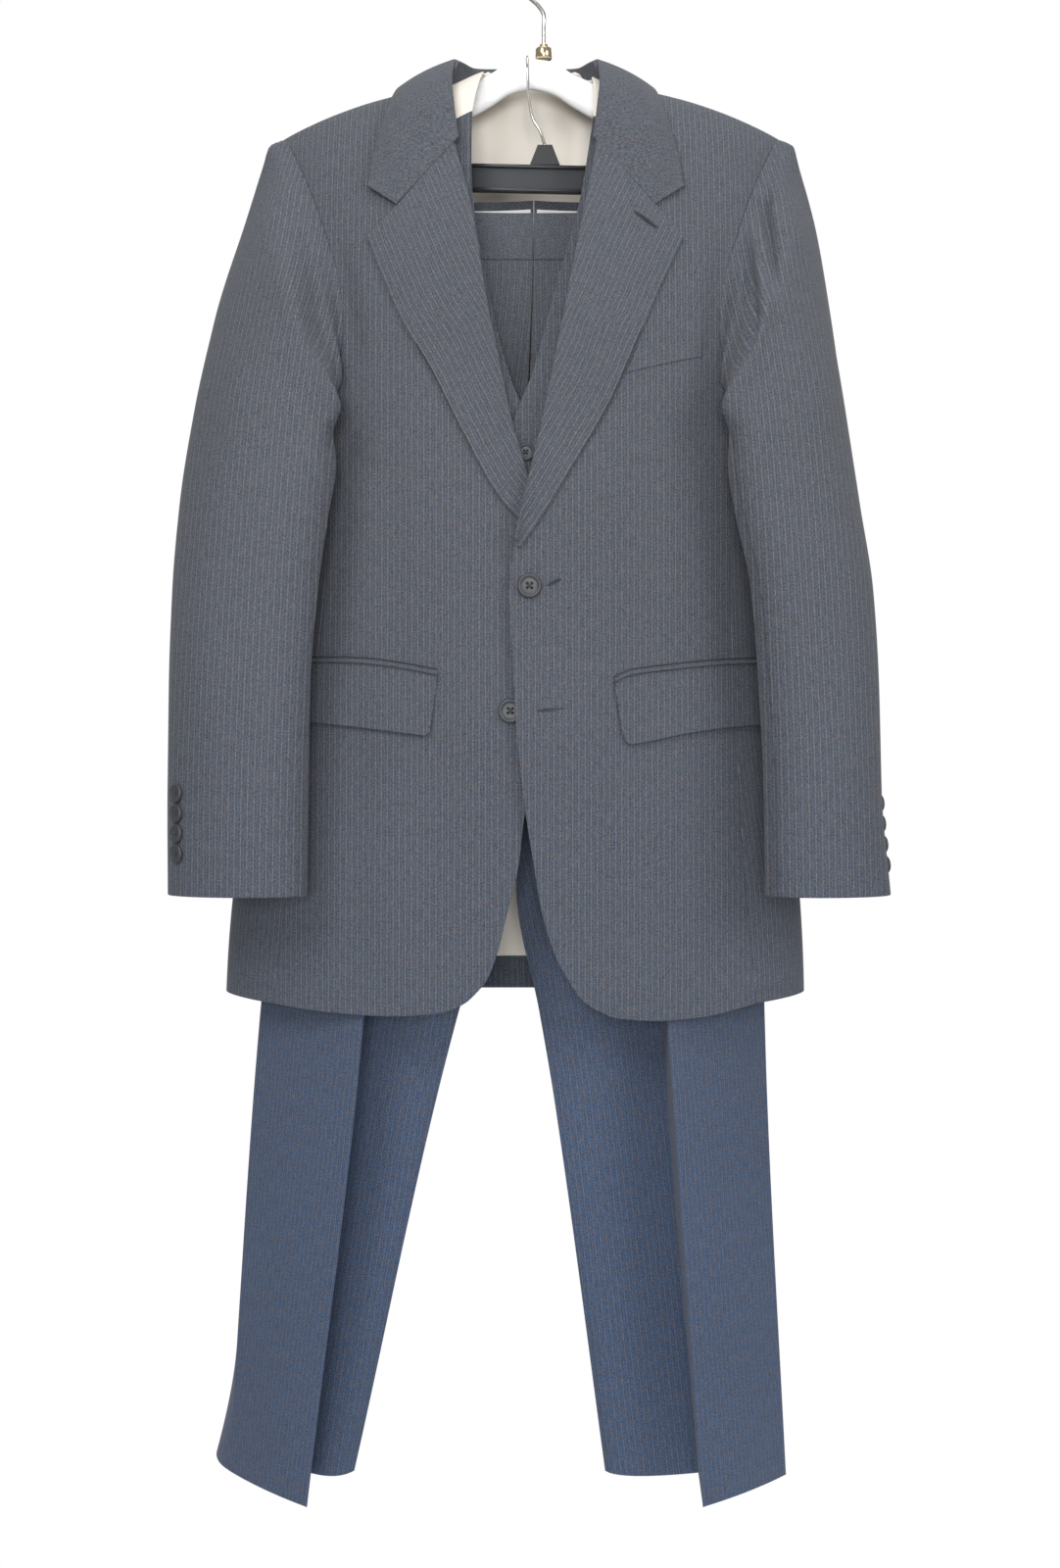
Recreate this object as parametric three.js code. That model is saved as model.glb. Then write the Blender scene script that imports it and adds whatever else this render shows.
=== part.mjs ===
// A three-piece suit on its hangers: jacket over vest on a contoured plastic suit hanger, and
// trousers inside them, clipped to a bar hanger whose wire hook rides on the suit hanger.
// Millimetres, +Z up, the suit's front faces -Y, and the origin is the inside of the top of
// the suit hanger's hook, where the whole suit is held. "Left" and "right" are -X and +X.
import * as THREE from 'three';
import { mergeVertices } from 'three/addons/utils/BufferGeometryUtils.js';

// ---------------------------------------------------------------- sizes

const JACKET_CLOTH = 2.0;       // wall of the jacket's panels, canvas and facing included
const TROUSER_CLOTH = 1.4;
const VEST_CLOTH = 1.6;
const LINING = 1.0;
const SEAM = 0.3;               // space left between two pieces where they are sewn
const COLLAR_CLOTH = 2.6;
const BUTTON_FRONT = { radius: 9.8, thickness: 3.6 };
const BUTTON_SLEEVE = { radius: 7.6, thickness: 3.0 };
const BUTTON_VEST = { radius: 7.0, thickness: 2.6 };
const HOOK_WIRE = 3.5;          // diameter of the suit hanger's hook
const CLIP_WIRE = 2.5;          // diameter of the bar hanger's hook
const HOOK_LOOP = 19;           // radius of the hook's loop, to the middle of the wire

const NECK_X = -15.2;           // middle of the collar
const SHOULDER_X = -10.5;       // middle between the two armholes

const FINISH = {
  suit: { color: 0x5f6570, roughness: 0.9, metalness: 0 },
  trouser: { color: 0x505c72, roughness: 0.9, metalness: 0 },
  lining: { color: 0xd8cdbd, roughness: 0.45, metalness: 0 },
  waistLining: { color: 0xeeeeea, roughness: 0.7, metalness: 0 },
  button: { color: 0x2b2d33, roughness: 0.35, metalness: 0 },
  whitePlastic: { color: 0xf4f4f2, roughness: 0.3, metalness: 0 },
  blackPlastic: { color: 0x25272b, roughness: 0.4, metalness: 0 },
  wire: { color: 0xc9c3b2, roughness: 0.2, metalness: 1 },
};

// ---------------------------------------------------------------- small helpers

const clamp01 = (t) => Math.min(1, Math.max(0, t));
const mix = (a, b, t) => a + (b - a) * t;
const smooth = (a, b, t) => {
  const s = clamp01((t - a) / (b - a));
  return s * s * (3 - 2 * s);
};
const vec = (x, y, z) => new THREE.Vector3(x, y, z);
const flat = (x, z) => new THREE.Vector2(x, z);

// A table of sections: named columns, the first being the key, read smoothly between rows.
function sections(columns, rows) {
  const keys = rows.map((row) => row[0]);
  const rising = keys[keys.length - 1] > keys[0] ? 1 : -1;
  const slope = (i, c) => {
    if (i === 0 || i === rows.length - 1) return null;
    const before = (rows[i][c] - rows[i - 1][c]) / (keys[i] - keys[i - 1]);
    const after = (rows[i + 1][c] - rows[i][c]) / (keys[i + 1] - keys[i]);
    return before * after <= 0 ? 0 : (2 * before * after) / (before + after);
  };
  return (key) => {
    let i = 0;
    while (i < keys.length - 2 && rising * key > rising * keys[i + 1]) i++;
    const span = keys[i + 1] - keys[i];
    const t = clamp01((key - keys[i]) / span);
    const out = {};
    columns.forEach((name, c) => {
      const chord = (rows[i + 1][c] - rows[i][c]) / span;
      const s0 = (slope(i, c) ?? chord) * span;
      const s1 = (slope(i + 1, c) ?? chord) * span;
      const t2 = t * t;
      const t3 = t2 * t;
      out[name] = (2 * t3 - 3 * t2 + 1) * rows[i][c] + (t3 - 2 * t2 + t) * s0
        + (3 * t2 - 2 * t3) * rows[i + 1][c] + (t3 - t2) * s1;
    });
    return out;
  };
}

// An edge through a few points of the (x, z) plane, read by its length.
function edge(points) {
  const curve = new THREE.SplineCurve(points.map(([x, z]) => flat(x, z)));
  return (t) => curve.getPointAt(clamp01(t));
}

const straight = (a, b) => (t) => flat(mix(a[0], b[0], t), mix(a[1], b[1], t));

// A patch between four edges of the (x, z) plane: top and bottom run with u, the sides with v.
function patch(top, bottom, left, right) {
  const corner = [top(0), top(1), bottom(0), bottom(1)];
  return (u, v) => {
    const across = top(u).multiplyScalar(1 - v).addScaledVector(bottom(u), v);
    const along = left(v).multiplyScalar(1 - u).addScaledVector(right(v), u);
    return across.add(along)
      .addScaledVector(corner[0], -(1 - u) * (1 - v)).addScaledVector(corner[1], -u * (1 - v))
      .addScaledVector(corner[2], -(1 - u) * v).addScaledVector(corner[3], -u * v);
  };
}

// The point (u, v) of a surface, moved out by a height. At a crease it goes to where the two
// sides meet once each has moved out.
function raised(surface, u, v, height, side) {
  const step = 1e-3;
  const [above, ...beside] = [v - step / 2, u - step, u].map((t) =>
    Math.min(Math.max(t, 0), 1 - step));
  const down = surface(u, above + step).sub(surface(u, above));
  const [before, after] = beside.map((from) =>
    surface(from + step, v).sub(surface(from, v)).cross(down).normalize());
  const meet = Math.max(CREASE_LEAST, 1 + before.dot(after));
  return surface(u, v).addScaledVector(before.add(after), side * height / meet);
}

function solid(name, finish, positions, triangles) {
  const geometry = new THREE.BufferGeometry();
  geometry.setAttribute('position', new THREE.Float32BufferAttribute(positions, 3));
  geometry.setIndex(triangles);
  geometry.computeVertexNormals();
  const mesh = new THREE.Mesh(geometry, new THREE.MeshStandardMaterial({ ...FINISH[finish] }));
  mesh.name = name;
  return mesh;
}

const CREASE_LEAST = 0.15;      // keeps the sharpest crease's corner near it

// A wall of cloth on a surface (u, v): its outer face lies `lift` above the surface and its
// inner face a thickness below that. `side` is +1 where u cross v points outwards, else -1.
// Its columns are even, or stand at the shares in `stops`.
function wall(name, finish, surface, { across, down, thickness, lift = 0, side = 1, stops }) {
  const raise = typeof lift === 'function' ? lift : () => lift;
  const positions = [];
  for (const depth of [0, thickness]) {
    for (let j = 0; j <= down; j++) {
      for (let i = 0; i <= across; i++) {
        const [u, v] = [stops ? stops[i] : i / across, j / down];
        raised(surface, u, v, raise(u, v) - depth, side).toArray(positions, positions.length);
      }
    }
  }
  const layer = (across + 1) * (down + 1);
  const at = (i, j, inner) => j * (across + 1) + i + (inner ? layer : 0);
  const triangles = [];
  const quad = (a, b, c, d) => {
    const order = side > 0 ? [a, b, c, a, c, d] : [a, c, b, a, d, c];
    triangles.push(...order);
  };
  for (let j = 0; j < down; j++) {
    for (let i = 0; i < across; i++) {
      quad(at(i, j), at(i + 1, j), at(i + 1, j + 1), at(i, j + 1));
      quad(at(i, j, 1), at(i, j + 1, 1), at(i + 1, j + 1, 1), at(i + 1, j, 1));
    }
  }
  for (let i = 0; i < across; i++) {
    quad(at(i, 0, 1), at(i + 1, 0, 1), at(i + 1, 0), at(i, 0));
    quad(at(i, down), at(i + 1, down), at(i + 1, down, 1), at(i, down, 1));
  }
  for (let j = 0; j < down; j++) {
    quad(at(0, j, 1), at(0, j), at(0, j + 1), at(0, j + 1, 1));
    quad(at(across, j), at(across, j, 1), at(across, j + 1, 1), at(across, j + 1));
  }
  return solid(name, finish, positions, triangles);
}

// Drops the normals and uvs of a three.js geometry so that its shared corners are one.
function closed(geometry) {
  geometry.deleteAttribute('normal');
  geometry.deleteAttribute('uv');
  return mergeVertices(geometry, 1e-4);
}

function piece(name, finish, geometry) {
  const shared = closed(geometry);
  shared.computeVertexNormals();
  const mesh = new THREE.Mesh(shared, new THREE.MeshStandardMaterial({ ...FINISH[finish] }));
  mesh.name = name;
  return mesh;
}

// ---------------------------------------------------------------- the jacket's form

// The jacket's rings, from the shoulders to the hem.
const jacketRing = sections(['z', 'middle', 'half', 'front', 'back'], [
  [-150, -10.5, 214, 76, 66],
  [-290, -10.5, 207, 84, 74],
  [-395, -11, 203, 87, 77],
  [-480, -12, 199, 88, 78],
  [-600, -16, 207, 88, 79],
  [-700, -20, 223, 88, 80],
  [-798, -23.3, 240.8, 88, 82],
  [-872, -24.2, 245, 89, 84],
  [-900, -24.5, 245.5, 89, 84],
]);
const RING_POWER = 2.2;         // 2 is an ellipse, more is squarer
const CREST_GAP = 1e-3;         // height a panel ends below a ridge, which parts it there by SEAM
const SHOULDER = { reach: 105, height: -115, slope: 0.2, inner: 0.3, droop: 0.00144 };
const FRONT_TOP = { from: -330, power: 2.2 };
const BACK_TOP = { from: -260, power: 3.0 };

// Height of the shoulder's ridge at x.
function ridge(x) {
  const out = Math.abs(x - SHOULDER_X) - SHOULDER.reach;
  const slope = out > 0 ? SHOULDER.slope : SHOULDER.inner;
  return SHOULDER.height - slope * out - SHOULDER.droop * Math.max(0, out) ** 2;
}

// A garment's face: rings below, and a roll over the shoulder's ridge above `top.from`. Its
// patches are drawn in (x, w), where w is the height z unrolled along that roll.
function face({ ring, column, sign, top, crest, power }) {
  const unrolled = (p) => {
    const high = crest(p.x);
    if (p.y <= top.from) return p;
    const t = clamp01((p.y - top.from) / (high - top.from));
    return flat(p.x, top.from + (high - top.from) * Math.asin(t ** (top.power / 2)) * 2 / Math.PI);
  };
  const at = (x, w) => {
    const high = crest(x);
    const turn = clamp01((w - top.from) / (high - top.from)) * Math.PI / 2;
    const z = w <= top.from ? w : top.from + (high - top.from) * Math.sin(turn) ** (2 / top.power);
    const section = ring(z);
    const u = Math.min(0.9995, Math.abs(x - section.middle) / section.half);
    const round = (1 - u ** power) ** (1 / power);
    const y = section[column] * round * Math.max(0, Math.cos(turn)) ** (2 / top.power);
    return vec(x, sign * y, z);
  };
  const along = (curve) => (t) => unrolled(curve(t));
  return {
    at,
    point: (x, z) => { const p = unrolled(flat(x, z)); return at(x, p.y); },
    patch: (...edges) => patch(...edges.map(along)),
    drawn: (sheet) => (u, v) => { const p = sheet(u, v); return at(p.x, p.y); },
  };
}

const jacketFront = face({ ring: jacketRing, column: 'front', sign: -1, top: FRONT_TOP,
  crest: ridge, power: RING_POWER });
const jacketBack = face({ ring: jacketRing, column: 'back', sign: 1, top: BACK_TOP,
  crest: ridge, power: RING_POWER });

// Where the side panel meets the front and the back: reach from the ring's middle.
const sideSeam = sections(['z', 'front', 'back'], [
  [-372, 166, 172],
  [-500, 166, 170],
  [-700, 180, 184],
  [-895, 200, 204],
]);
const UNDERARM = -372;          // where the two side seams end at the armhole
const UNDERARM_DIP = 22;        // how far the armhole dips between them
const UNDERARM_EASE = 6.2;      // the side panel's top lies this far below the armhole
const SIDE_HEM = { front: -880, back: -882, rise: 6 };

// A point on the jacket's side, a share s of the way from the front seam to the back seam.
function jacketSide(side, s, z, gap = 0) {
  const ring = jacketRing(z);
  const seam = sideSeam(z);
  const angle = (reach) => Math.acos(((reach + gap) / ring.half) ** (RING_POWER / 2));
  const turn = mix(-angle(seam.front), angle(seam.back), s);
  const x = ring.half * Math.cos(turn) ** (2 / RING_POWER);
  const y = Math.sign(turn) * Math.abs(Math.sin(turn)) ** (2 / RING_POWER);
  return vec(ring.middle + side * x, y * (turn < 0 ? ring.front : ring.back), z);
}

// Points down the side seam of the front or the back, below the armhole, just inside the seam.
function seamPoints(side, which, hem) {
  const steps = 12;
  return Array.from({ length: steps }, (_, i) => {
    const z = mix(UNDERARM, hem, (i + 1) / steps);
    return [jacketRing(z).middle + side * (sideSeam(z)[which] - SEAM), z];
  });
}

// The armhole's edges on the front and the back: reach from the shoulders' middle, and height.
const TIP = { reach: 211, height: -153.2 };
const ARMHOLE_FRONT = [[TIP.reach, TIP.height], [199, -172], [181, -214], [167, -256],
  [159, -287], [154.5, -325], [157, -352], [166, UNDERARM]];
const ARMHOLE_BACK = [[TIP.reach, TIP.height], [203, -172], [189, -214], [178, -256],
  [171, -287], [166, -325], [167, -352], [172, UNDERARM]];

const fromMiddle = (side, points, gap = 0) => points.map(([reach, z]) =>
  [SHOULDER_X + side * (reach - gap), z]);

// ---------------------------------------------------------------- the jacket's fronts

const SIDES = [{ side: -1, word: 'left' }, { side: 1, word: 'right' }];

// Inner edge of each front: the lapel's roll line, then the buttoned edge and the cut-away.
const FRONT_EDGE = {
  left: [[-80, -112], [-77.5, -140], [-72.5, -177], [-58.5, -236], [-47.5, -306], [-30, -398],
    [-12, -455], [1, -540], [1, -606], [-5, -668], [-16.4, -729], [-21, -767], [-30, -804],
    [-37, -833]],
  right: [[50, -112], [46, -148], [41, -184], [31, -245], [19, -306], [7, -369],
    [-7, -438], [-17.5, -484], [-24.5, -508], [-28.5, -543], [-27.4, -574], [-24.7, -621],
    [-21.9, -669], [-16.4, -716], [-8.6, -767], [-3.8, -796], [2.4, -821], [9.5, -841]],
};
const HEM_EDGE = {
  left: [[-37, -833], [-45.5, -855.7], [-56, -869], [-67, -878], [-85, -884.5], [-125, -887.5],
    [-181, -885], [-224, -880]],
  right: [[9.5, -841], [20.5, -860], [31, -874], [47, -884], [62, -889], [96, -891.5],
    [137, -888.5], [175.5, -880]],
};
const LAP = 7.8;                 // how far the right front stands out over the left

// The right front stands out where it laps the left, and comes back to the form beside it.
const lapAt = (x, z) => LAP * (1 - smooth(10, 95, x)) * smooth(-390, -470, z);

function frontSheet({ side, word }) {
  const inner = edge(FRONT_EDGE[word]);
  const hem = edge(HEM_EDGE[word]);
  const neck = inner(0);
  const tip = SHOULDER_X + side * (TIP.reach - SEAM);
  const shoulder = (t) => {
    const x = mix(neck.x, tip, t);
    const open = mix(neck.y, ridge(x), clamp01(t * 8));
    return flat(x, Math.min(ridge(x), open) - CREST_GAP);
  };
  const seam = seamPoints(side, 'front', SIDE_HEM.front);
  const outer = edge([...fromMiddle(side, ARMHOLE_FRONT, SEAM), ...seam]);
  return jacketFront.patch(shoulder, hem, inner, outer);
}

function jacketFrontPanel(which) {
  const sheet = frontSheet(which);
  const lift = (u, v) => {
    const p = sheet(u, v);
    return which.side > 0 ? lapAt(p.x, p.y) : 0;
  };
  return wall(`jacket_front_${which.word}`, 'suit', jacketFront.drawn(sheet),
    { across: 8, down: 16, thickness: JACKET_CLOTH, lift, side: -which.side });
}

function jacketSidePanel({ side, word }) {
  const surface = (u, v) => {
    const top = UNDERARM - UNDERARM_EASE - UNDERARM_DIP * Math.sin(Math.PI * u);
    const hem = mix(SIDE_HEM.front, SIDE_HEM.back, u) + SIDE_HEM.rise * Math.sin(Math.PI * u);
    return jacketSide(side, u, mix(top, hem, v), SEAM);
  };
  return wall(`jacket_side_${word}`, 'suit', surface,
    { across: 4, down: 8, thickness: JACKET_CLOTH, side: -side });
}

// ---------------------------------------------------------------- the jacket's back

const BACK_NECK = [[0, -114], [30, -113], [58, -110.5], [74, -108.5]];   // reach from NECK_X
const BACK_HEM = -882;
const LINING_BAND = { top: -176, hem: -853, reach: 150 };
const LINING_EASE = 2.4;        // the lining hangs this far inside the cloth

function jacketBackPanel({ side, word }) {
  const neck = BACK_NECK.map(([reach, z]) => [NECK_X + side * Math.max(SEAM / 2, reach), z]);
  const shoulder = [100, 135, 170, TIP.reach - SEAM].map((reach) => {
    const x = SHOULDER_X + side * reach;
    return [x, ridge(x) - CREST_GAP];
  });
  const top = edge([...neck, ...shoulder]);
  const middle = edge([neck[0], [NECK_X + side * SEAM / 2, -400],
    [jacketRing(BACK_HEM).middle + side * SEAM / 2, BACK_HEM]]);
  const outer = edge([...fromMiddle(side, ARMHOLE_BACK, SEAM), ...seamPoints(side, 'back', SIDE_HEM.back)]);
  const hem = (t) => flat(mix(middle(1).x, outer(1).x, t), BACK_HEM);
  return wall(`jacket_back_${word}`, 'suit', jacketBack.drawn(jacketBack.patch(top, hem, middle, outer)),
    { across: 6, down: 12, thickness: JACKET_CLOTH, side });
}

function jacketBackLining() {
  const { top, hem, reach } = LINING_BAND;
  const surface = (u, v) => {
    const z = mix(top, hem, v);
    return jacketBack.point(mix(-reach, reach, u) + jacketRing(z).middle, z);
  };
  return wall('jacket_back_lining', 'lining', surface,
    { across: 8, down: 8, thickness: LINING, lift: -JACKET_CLOTH - LINING_EASE, side: 1 });
}

// ---------------------------------------------------------------- the sleeves

// Rings of a sleeve from the armhole to the cuff. Each passes through an outer and an inner
// point, given by height, reach and y. Its front half stands `front` out from the line between
// them and its back half `back`, each in a direction turned from the y axis; `hold` is how much
// of the armhole's own shape it keeps.
const SLEEVE_COLUMNS = ['row', 'outerZ', 'outer', 'outerY', 'innerZ', 'inner', 'innerY',
  'front', 'turn', 'back', 'backTurn', 'hold'];
const SLEEVE_ROWS = {
  left: [
    [0, -152.6, 211, 0, -394, 203, -4, 56, -6, 56, -6, 1],
    [1, -158, 221, -2, -402, 213, -16, 56, -6, 56, -16, 0.85],
    [2, -180, 228, -5, -411, 203, -46, 56, -6, 54, -26, 0.6],
    [3, -228, 241, -14, -417, 179, -76, 54, -6, 50, -32, 0.3],
    [4, -306, 263, -26, -424, 159, -88, 51, 0, 46, -30, 0.15],
    [5, -391, 278, -38, -448, 156, -97, 47, 8, 42, -22, 0],
    [6, -470, 287, -48, -488, 162, -101, 44, 16, 40, -10, 0],
    [7, -545, 291, -56, -545, 170, -104, 42, 20, 38, 4, 0],
    [8, -622, 292, -62, -622, 177, -107, 41, 22, 37, 14, 0],
    [9, -705, 292, -68, -705, 179, -110, 40, 22, 37, 20, 0],
    [10, -789, 291, -74, -789, 180, -113, 38, 22, 36, 22, 0],
  ],
  right: [
    [0, -152.6, 211, 0, -394, 203, -4, 56, -6, 56, -6, 1],
    [1, -158, 221, -2, -402, 213, -16, 56, -6, 56, -16, 0.85],
    [2, -180, 227, -5, -411, 203, -46, 56, -6, 54, -26, 0.6],
    [3, -228, 238, -14, -417, 179, -76, 54, -6, 50, -32, 0.3],
    [4, -306, 249, -26, -424, 159, -88, 51, 0, 46, -30, 0.15],
    [5, -391, 258.5, -38, -448, 157, -97, 47, 8, 42, -22, 0],
    [6, -470, 267, -48, -488, 163, -101, 44, 16, 40, -10, 0],
    [7, -545, 276, -56, -545, 175, -104, 42, 20, 38, 4, 0],
    [8, -622, 279, -62, -622, 182, -107, 41, 22, 37, 14, 0],
    [9, -705, 280, -68, -705, 187, -110, 40, 22, 37, 20, 0],
    [10, -789, 287, -74, -789, 188, -113, 38, 22, 36, 22, 0],
  ],
};
const CUFF = SLEEVE_ROWS.left.length - 1;
const ARMHOLE_EASE = { top: 1.0, bottom: 3.6 };   // how far the sleeve's head stands outside it
const DIP = { shares: [0.2, 0.4, 0.6, 0.8], out: 2.6, up: 1.8 };   // its points under the arm
const sleeveRing = {
  left: sections(SLEEVE_COLUMNS, SLEEVE_ROWS.left),
  right: sections(SLEEVE_COLUMNS, SLEEVE_ROWS.right),
};
// The sleeves' two seams as shares of the way round, from the shoulder over the front to the
// underarm: at the armhole and at the cuff.
const SLEEVE_SEAMS = {
  left: { back: [-0.12, 0.1], front: [0.44, 0.5] },
  right: { back: [-0.12, -0.045], front: [0.44, 0.46] },
};

// The closed armhole of one side, read by its length from the shoulder over the front.
function armhole(side) {
  const eased = (points) => fromMiddle(side, points.map(([reach, z], i) =>
    [reach + mix(ARMHOLE_EASE.top, ARMHOLE_EASE.bottom, i / (points.length - 1)), z]));
  const front = eased(ARMHOLE_FRONT).map(([x, z]) => jacketFront.point(x, z));
  const off = vec(side * DIP.out, 0, DIP.up);
  const dip = DIP.shares.map((s) =>
    jacketSide(side, s, UNDERARM - UNDERARM_DIP * Math.sin(Math.PI * s)).add(off));
  const back = eased(ARMHOLE_BACK).slice(1).reverse()
    .map(([x, z]) => jacketBack.point(x, z));
  const loop = new THREE.CatmullRomCurve3([...front, ...dip, ...back], true, 'centripetal');
  return (share) => loop.getPointAt(((share % 1) + 1) % 1);
}

function sleeveSurface({ side, word }) {
  const loop = armhole(side);
  const ellipse = (ring, share) => {
    const [c, s] = [Math.cos(2 * Math.PI * share), Math.sin(2 * Math.PI * share)];
    const turn = THREE.MathUtils.degToRad(s > 0 ? ring.turn : ring.backTurn);
    const deep = s > 0 ? ring.front : ring.back;
    const reach = mix(ring.inner, ring.outer, (1 + c) / 2) + s * deep * Math.sin(turn);
    const y = mix(ring.innerY, ring.outerY, (1 + c) / 2) - s * deep * Math.cos(turn);
    return vec(SHOULDER_X + side * reach, y, mix(ring.innerZ, ring.outerZ, (1 + c) / 2));
  };
  const first = sleeveRing[word](0);
  return (share, row) => {
    const ring = sleeveRing[word](row);
    const own = loop(share).sub(ellipse(first, share));
    return ellipse(ring, share).addScaledVector(own, ring.hold);
  };
}

function sleevePanel(which, name) {
  const skin = sleeveSurface(which);
  const half = 0.0014;          // half the seam's gap, as a share of the way round
  const { back, front } = SLEEVE_SEAMS[which.word];
  const [start, end, turns, across] = name === 'sleeve_top' ? [back, front, 0, 8] : [front, back, 1, 7];
  const surface = (u, v) => {
    const from = mix(...start, v) + half;
    const to = mix(...end, v) + turns - half;
    return skin(mix(from, to, u), CUFF * v);
  };
  return wall(`jacket_${name}_${which.word}`, 'suit', surface,
    { across, down: 12, thickness: JACKET_CLOTH, side: which.side });
}

// ---------------------------------------------------------------- collar and lapels

// Half of the collar, from its front end (way 0) to the middle of the back (way 1): the fold,
// the middle and the outer edge of its fall, each as reach from the neck's middle, y and z.
const collarRow = sections(['way', 'fold', 'foldY', 'foldZ', 'mid', 'midY', 'midZ', 'edge',
  'edgeY', 'edgeZ'], [
  [0, 57, -67, -174, 105, -70, -226, 131.5, -63, -214],
  [0.14, 61, -55, -144, 100, -60.5, -168, 126, -56, -184],
  [0.28, 63.5, -34, -112, 94, -47, -132, 118, -46, -150],
  [0.45, 61.5, 6, -81.5, 84, -2, -95, 106, -4, -109.8],
  [0.57, 56, 25, -78, 79, 24, -94, 100, 21, -112],
  [0.7, 46, 42, -76.5, 66, 47, -94, 84, 46, -118],
  [1, 0, 56, -74, 0, 62, -95, 0, 61, -123],
]);
// Where the collar's stand is sewn to the neck, from beside the shoulder to the middle.
const standRow = sections(['way', 'reach', 'y', 'z'], [
  [0.36, 63, -12, -101.5],
  [0.45, 67, 4, -102.5],
  [0.7, 50, 34, -109.5],
  [1, 0, 43, -112.5],
]);

const collarWay = (u) => 1 - Math.abs(2 * u - 1);
const collarSide = (u) => (u < 0.5 ? -1 : 1);

function collarFall() {
  const surface = (u, v) => {
    const row = collarRow(collarWay(u));
    const side = collarSide(u);
    const t = clamp01(v);
    const [a, b, c] = [(1 - t) * (1 - 2 * t), 4 * t * (1 - t), t * (2 * t - 1)];
    return vec(NECK_X + side * (a * row.fold + b * row.mid + c * row.edge),
      a * row.foldY + b * row.midY + c * row.edgeY, a * row.foldZ + b * row.midZ + c * row.edgeZ);
  };
  return wall('jacket_collar_fall', 'suit', surface,
    { across: 18, down: 4, thickness: COLLAR_CLOTH, side: 1 });
}

const STAND = { from: 0.36, inset: 1.4, below: 1 };   // where it starts, and how it clears the fall

function collarStand() {
  const inset = COLLAR_CLOTH + STAND.inset;
  const surface = (u, v) => {
    const side = collarSide(u);
    const way = mix(STAND.from, 1, collarWay(u));
    const fold = collarRow(way);
    const seam = standRow(way);
    const shrink = 1 - inset / Math.hypot(fold.fold, fold.foldY);
    const reach = mix(fold.fold * shrink, seam.reach, v);
    const [y, z] = [mix(fold.foldY * shrink, seam.y, v), mix(fold.foldZ - STAND.below, seam.z, v)];
    return vec(NECK_X + side * reach, y, z);
  };
  return wall('jacket_collar_stand', 'suit', surface,
    { across: 12, down: 2, thickness: JACKET_CLOTH, side: 1 });
}

// Each lapel lies on its front between the roll line and its free edge, below the gorge.
const LAPEL_ROLL = {
  left: [[-73.5, -180.5], [-58, -236], [-46.5, -306], [-28.5, -398], [-19, -432], [-8, -470], [-3, -500]],
  right: [[42.5, -180.5], [29.4, -245], [17.5, -306], [5.6, -369], [-8.6, -438], [-19, -484], [-23, -506]],
};
const LAPEL_EDGE = {
  left: [[-144.5, -253], [-133.8, -282], [-115.7, -324.4], [-91.2, -367.7], [-67.6, -415],
    [-41.6, -463], [-19.6, -490], [-7, -503]],
  right: [[113, -255], [104.9, -273], [89, -308.6], [71, -352], [50.5, -397.6], [15.9, -456.7],
    [-2.2, -486.6], [-20, -512]],
};
const GORGE = [[71, -196], [84, -212.8], [105, -229]];      // the lapel's top seam: reach, height
const LAPEL = { thickness: 2.2, clear: 0.7, roll: 4 };
const LEFT_ROLL_FADES = { low: -450, high: -370 };   // the left lapel lies down under the right front

function lapel({ side, word }) {
  const roll = edge(LAPEL_ROLL[word]);
  const free = edge(LAPEL_EDGE[word]);
  const [start, end] = [LAPEL_ROLL[word], LAPEL_EDGE[word]];
  const gorge = edge([start[0], ...GORGE.map(([reach, z]) => [NECK_X + side * reach, z]), end[0]]);
  const sheet = jacketFront.patch(gorge, straight(start.at(-1), end.at(-1)), roll, free);
  const lift = (u, v) => {
    const p = sheet(u, v);
    const fade = smooth(LEFT_ROLL_FADES.low, LEFT_ROLL_FADES.high, p.y);
    const [lap, held] = side > 0 ? [lapAt(p.x, p.y), 1] : [0, fade];
    return lap + LAPEL.clear + LAPEL.thickness + held * LAPEL.roll * (1 - u) ** 2;
  };
  return wall(`jacket_lapel_${word}`, 'suit', jacketFront.drawn(sheet),
    { across: 4, down: 12, thickness: LAPEL.thickness, lift, side: -side });
}

// ---------------------------------------------------------------- pockets

// The pockets' flaps, jets and the chest welt: four edges each, on their front.
const FLAP = {
  left: { top: [[-86, -612.5], [-119, -606], [-151, -602], [-192, -600.3]],
    bottom: [[-96, -661.4], [-119, -658.3], [-151, -654.3], [-195, -649.3]],
    inner: [[-86, -612.5], [-90, -645], [-92, -657.5], [-96, -661.4]] },
  right: { top: [[55.5, -619], [70, -612.5], [103.3, -607.5], [137, -603.5], [178, -600]],
    bottom: [[68.5, -668.5], [86, -665.4], [119.6, -658.3], [154, -653.6], [182, -651]],
    inner: [[55.5, -619], [60.5, -650], [63.5, -664], [68.5, -668.5]] },
};
const FLAP_REST = { top: 1.3, swing: 0.6 };     // the flap's space above the front, at its top and more below
const JET = { above: 4.2, below: 0.4, thickness: 1.2, lift: 2.1 };
const WELT = { bottom: [[66, -368.2], [92, -361.2], [128, -352.4]],
  top: [[74, -348.2], [98, -341.5], [128.5, -334.4]], thickness: 1.6, lift: 2.1 };

const shifted = (points, dx, dz) => points.map(([x, z]) => [x + dx, z + dz]);
function onFront(name, { side }, sheet, across, down, thickness, rise) {
  const lift = (u, v) => {
    const p = sheet(u, v);
    return (side > 0 ? lapAt(p.x, p.y) : 0) + rise(v);
  };
  return wall(name, 'suit', jacketFront.drawn(sheet), { across, down, thickness, lift, side: -side });
}

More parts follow.
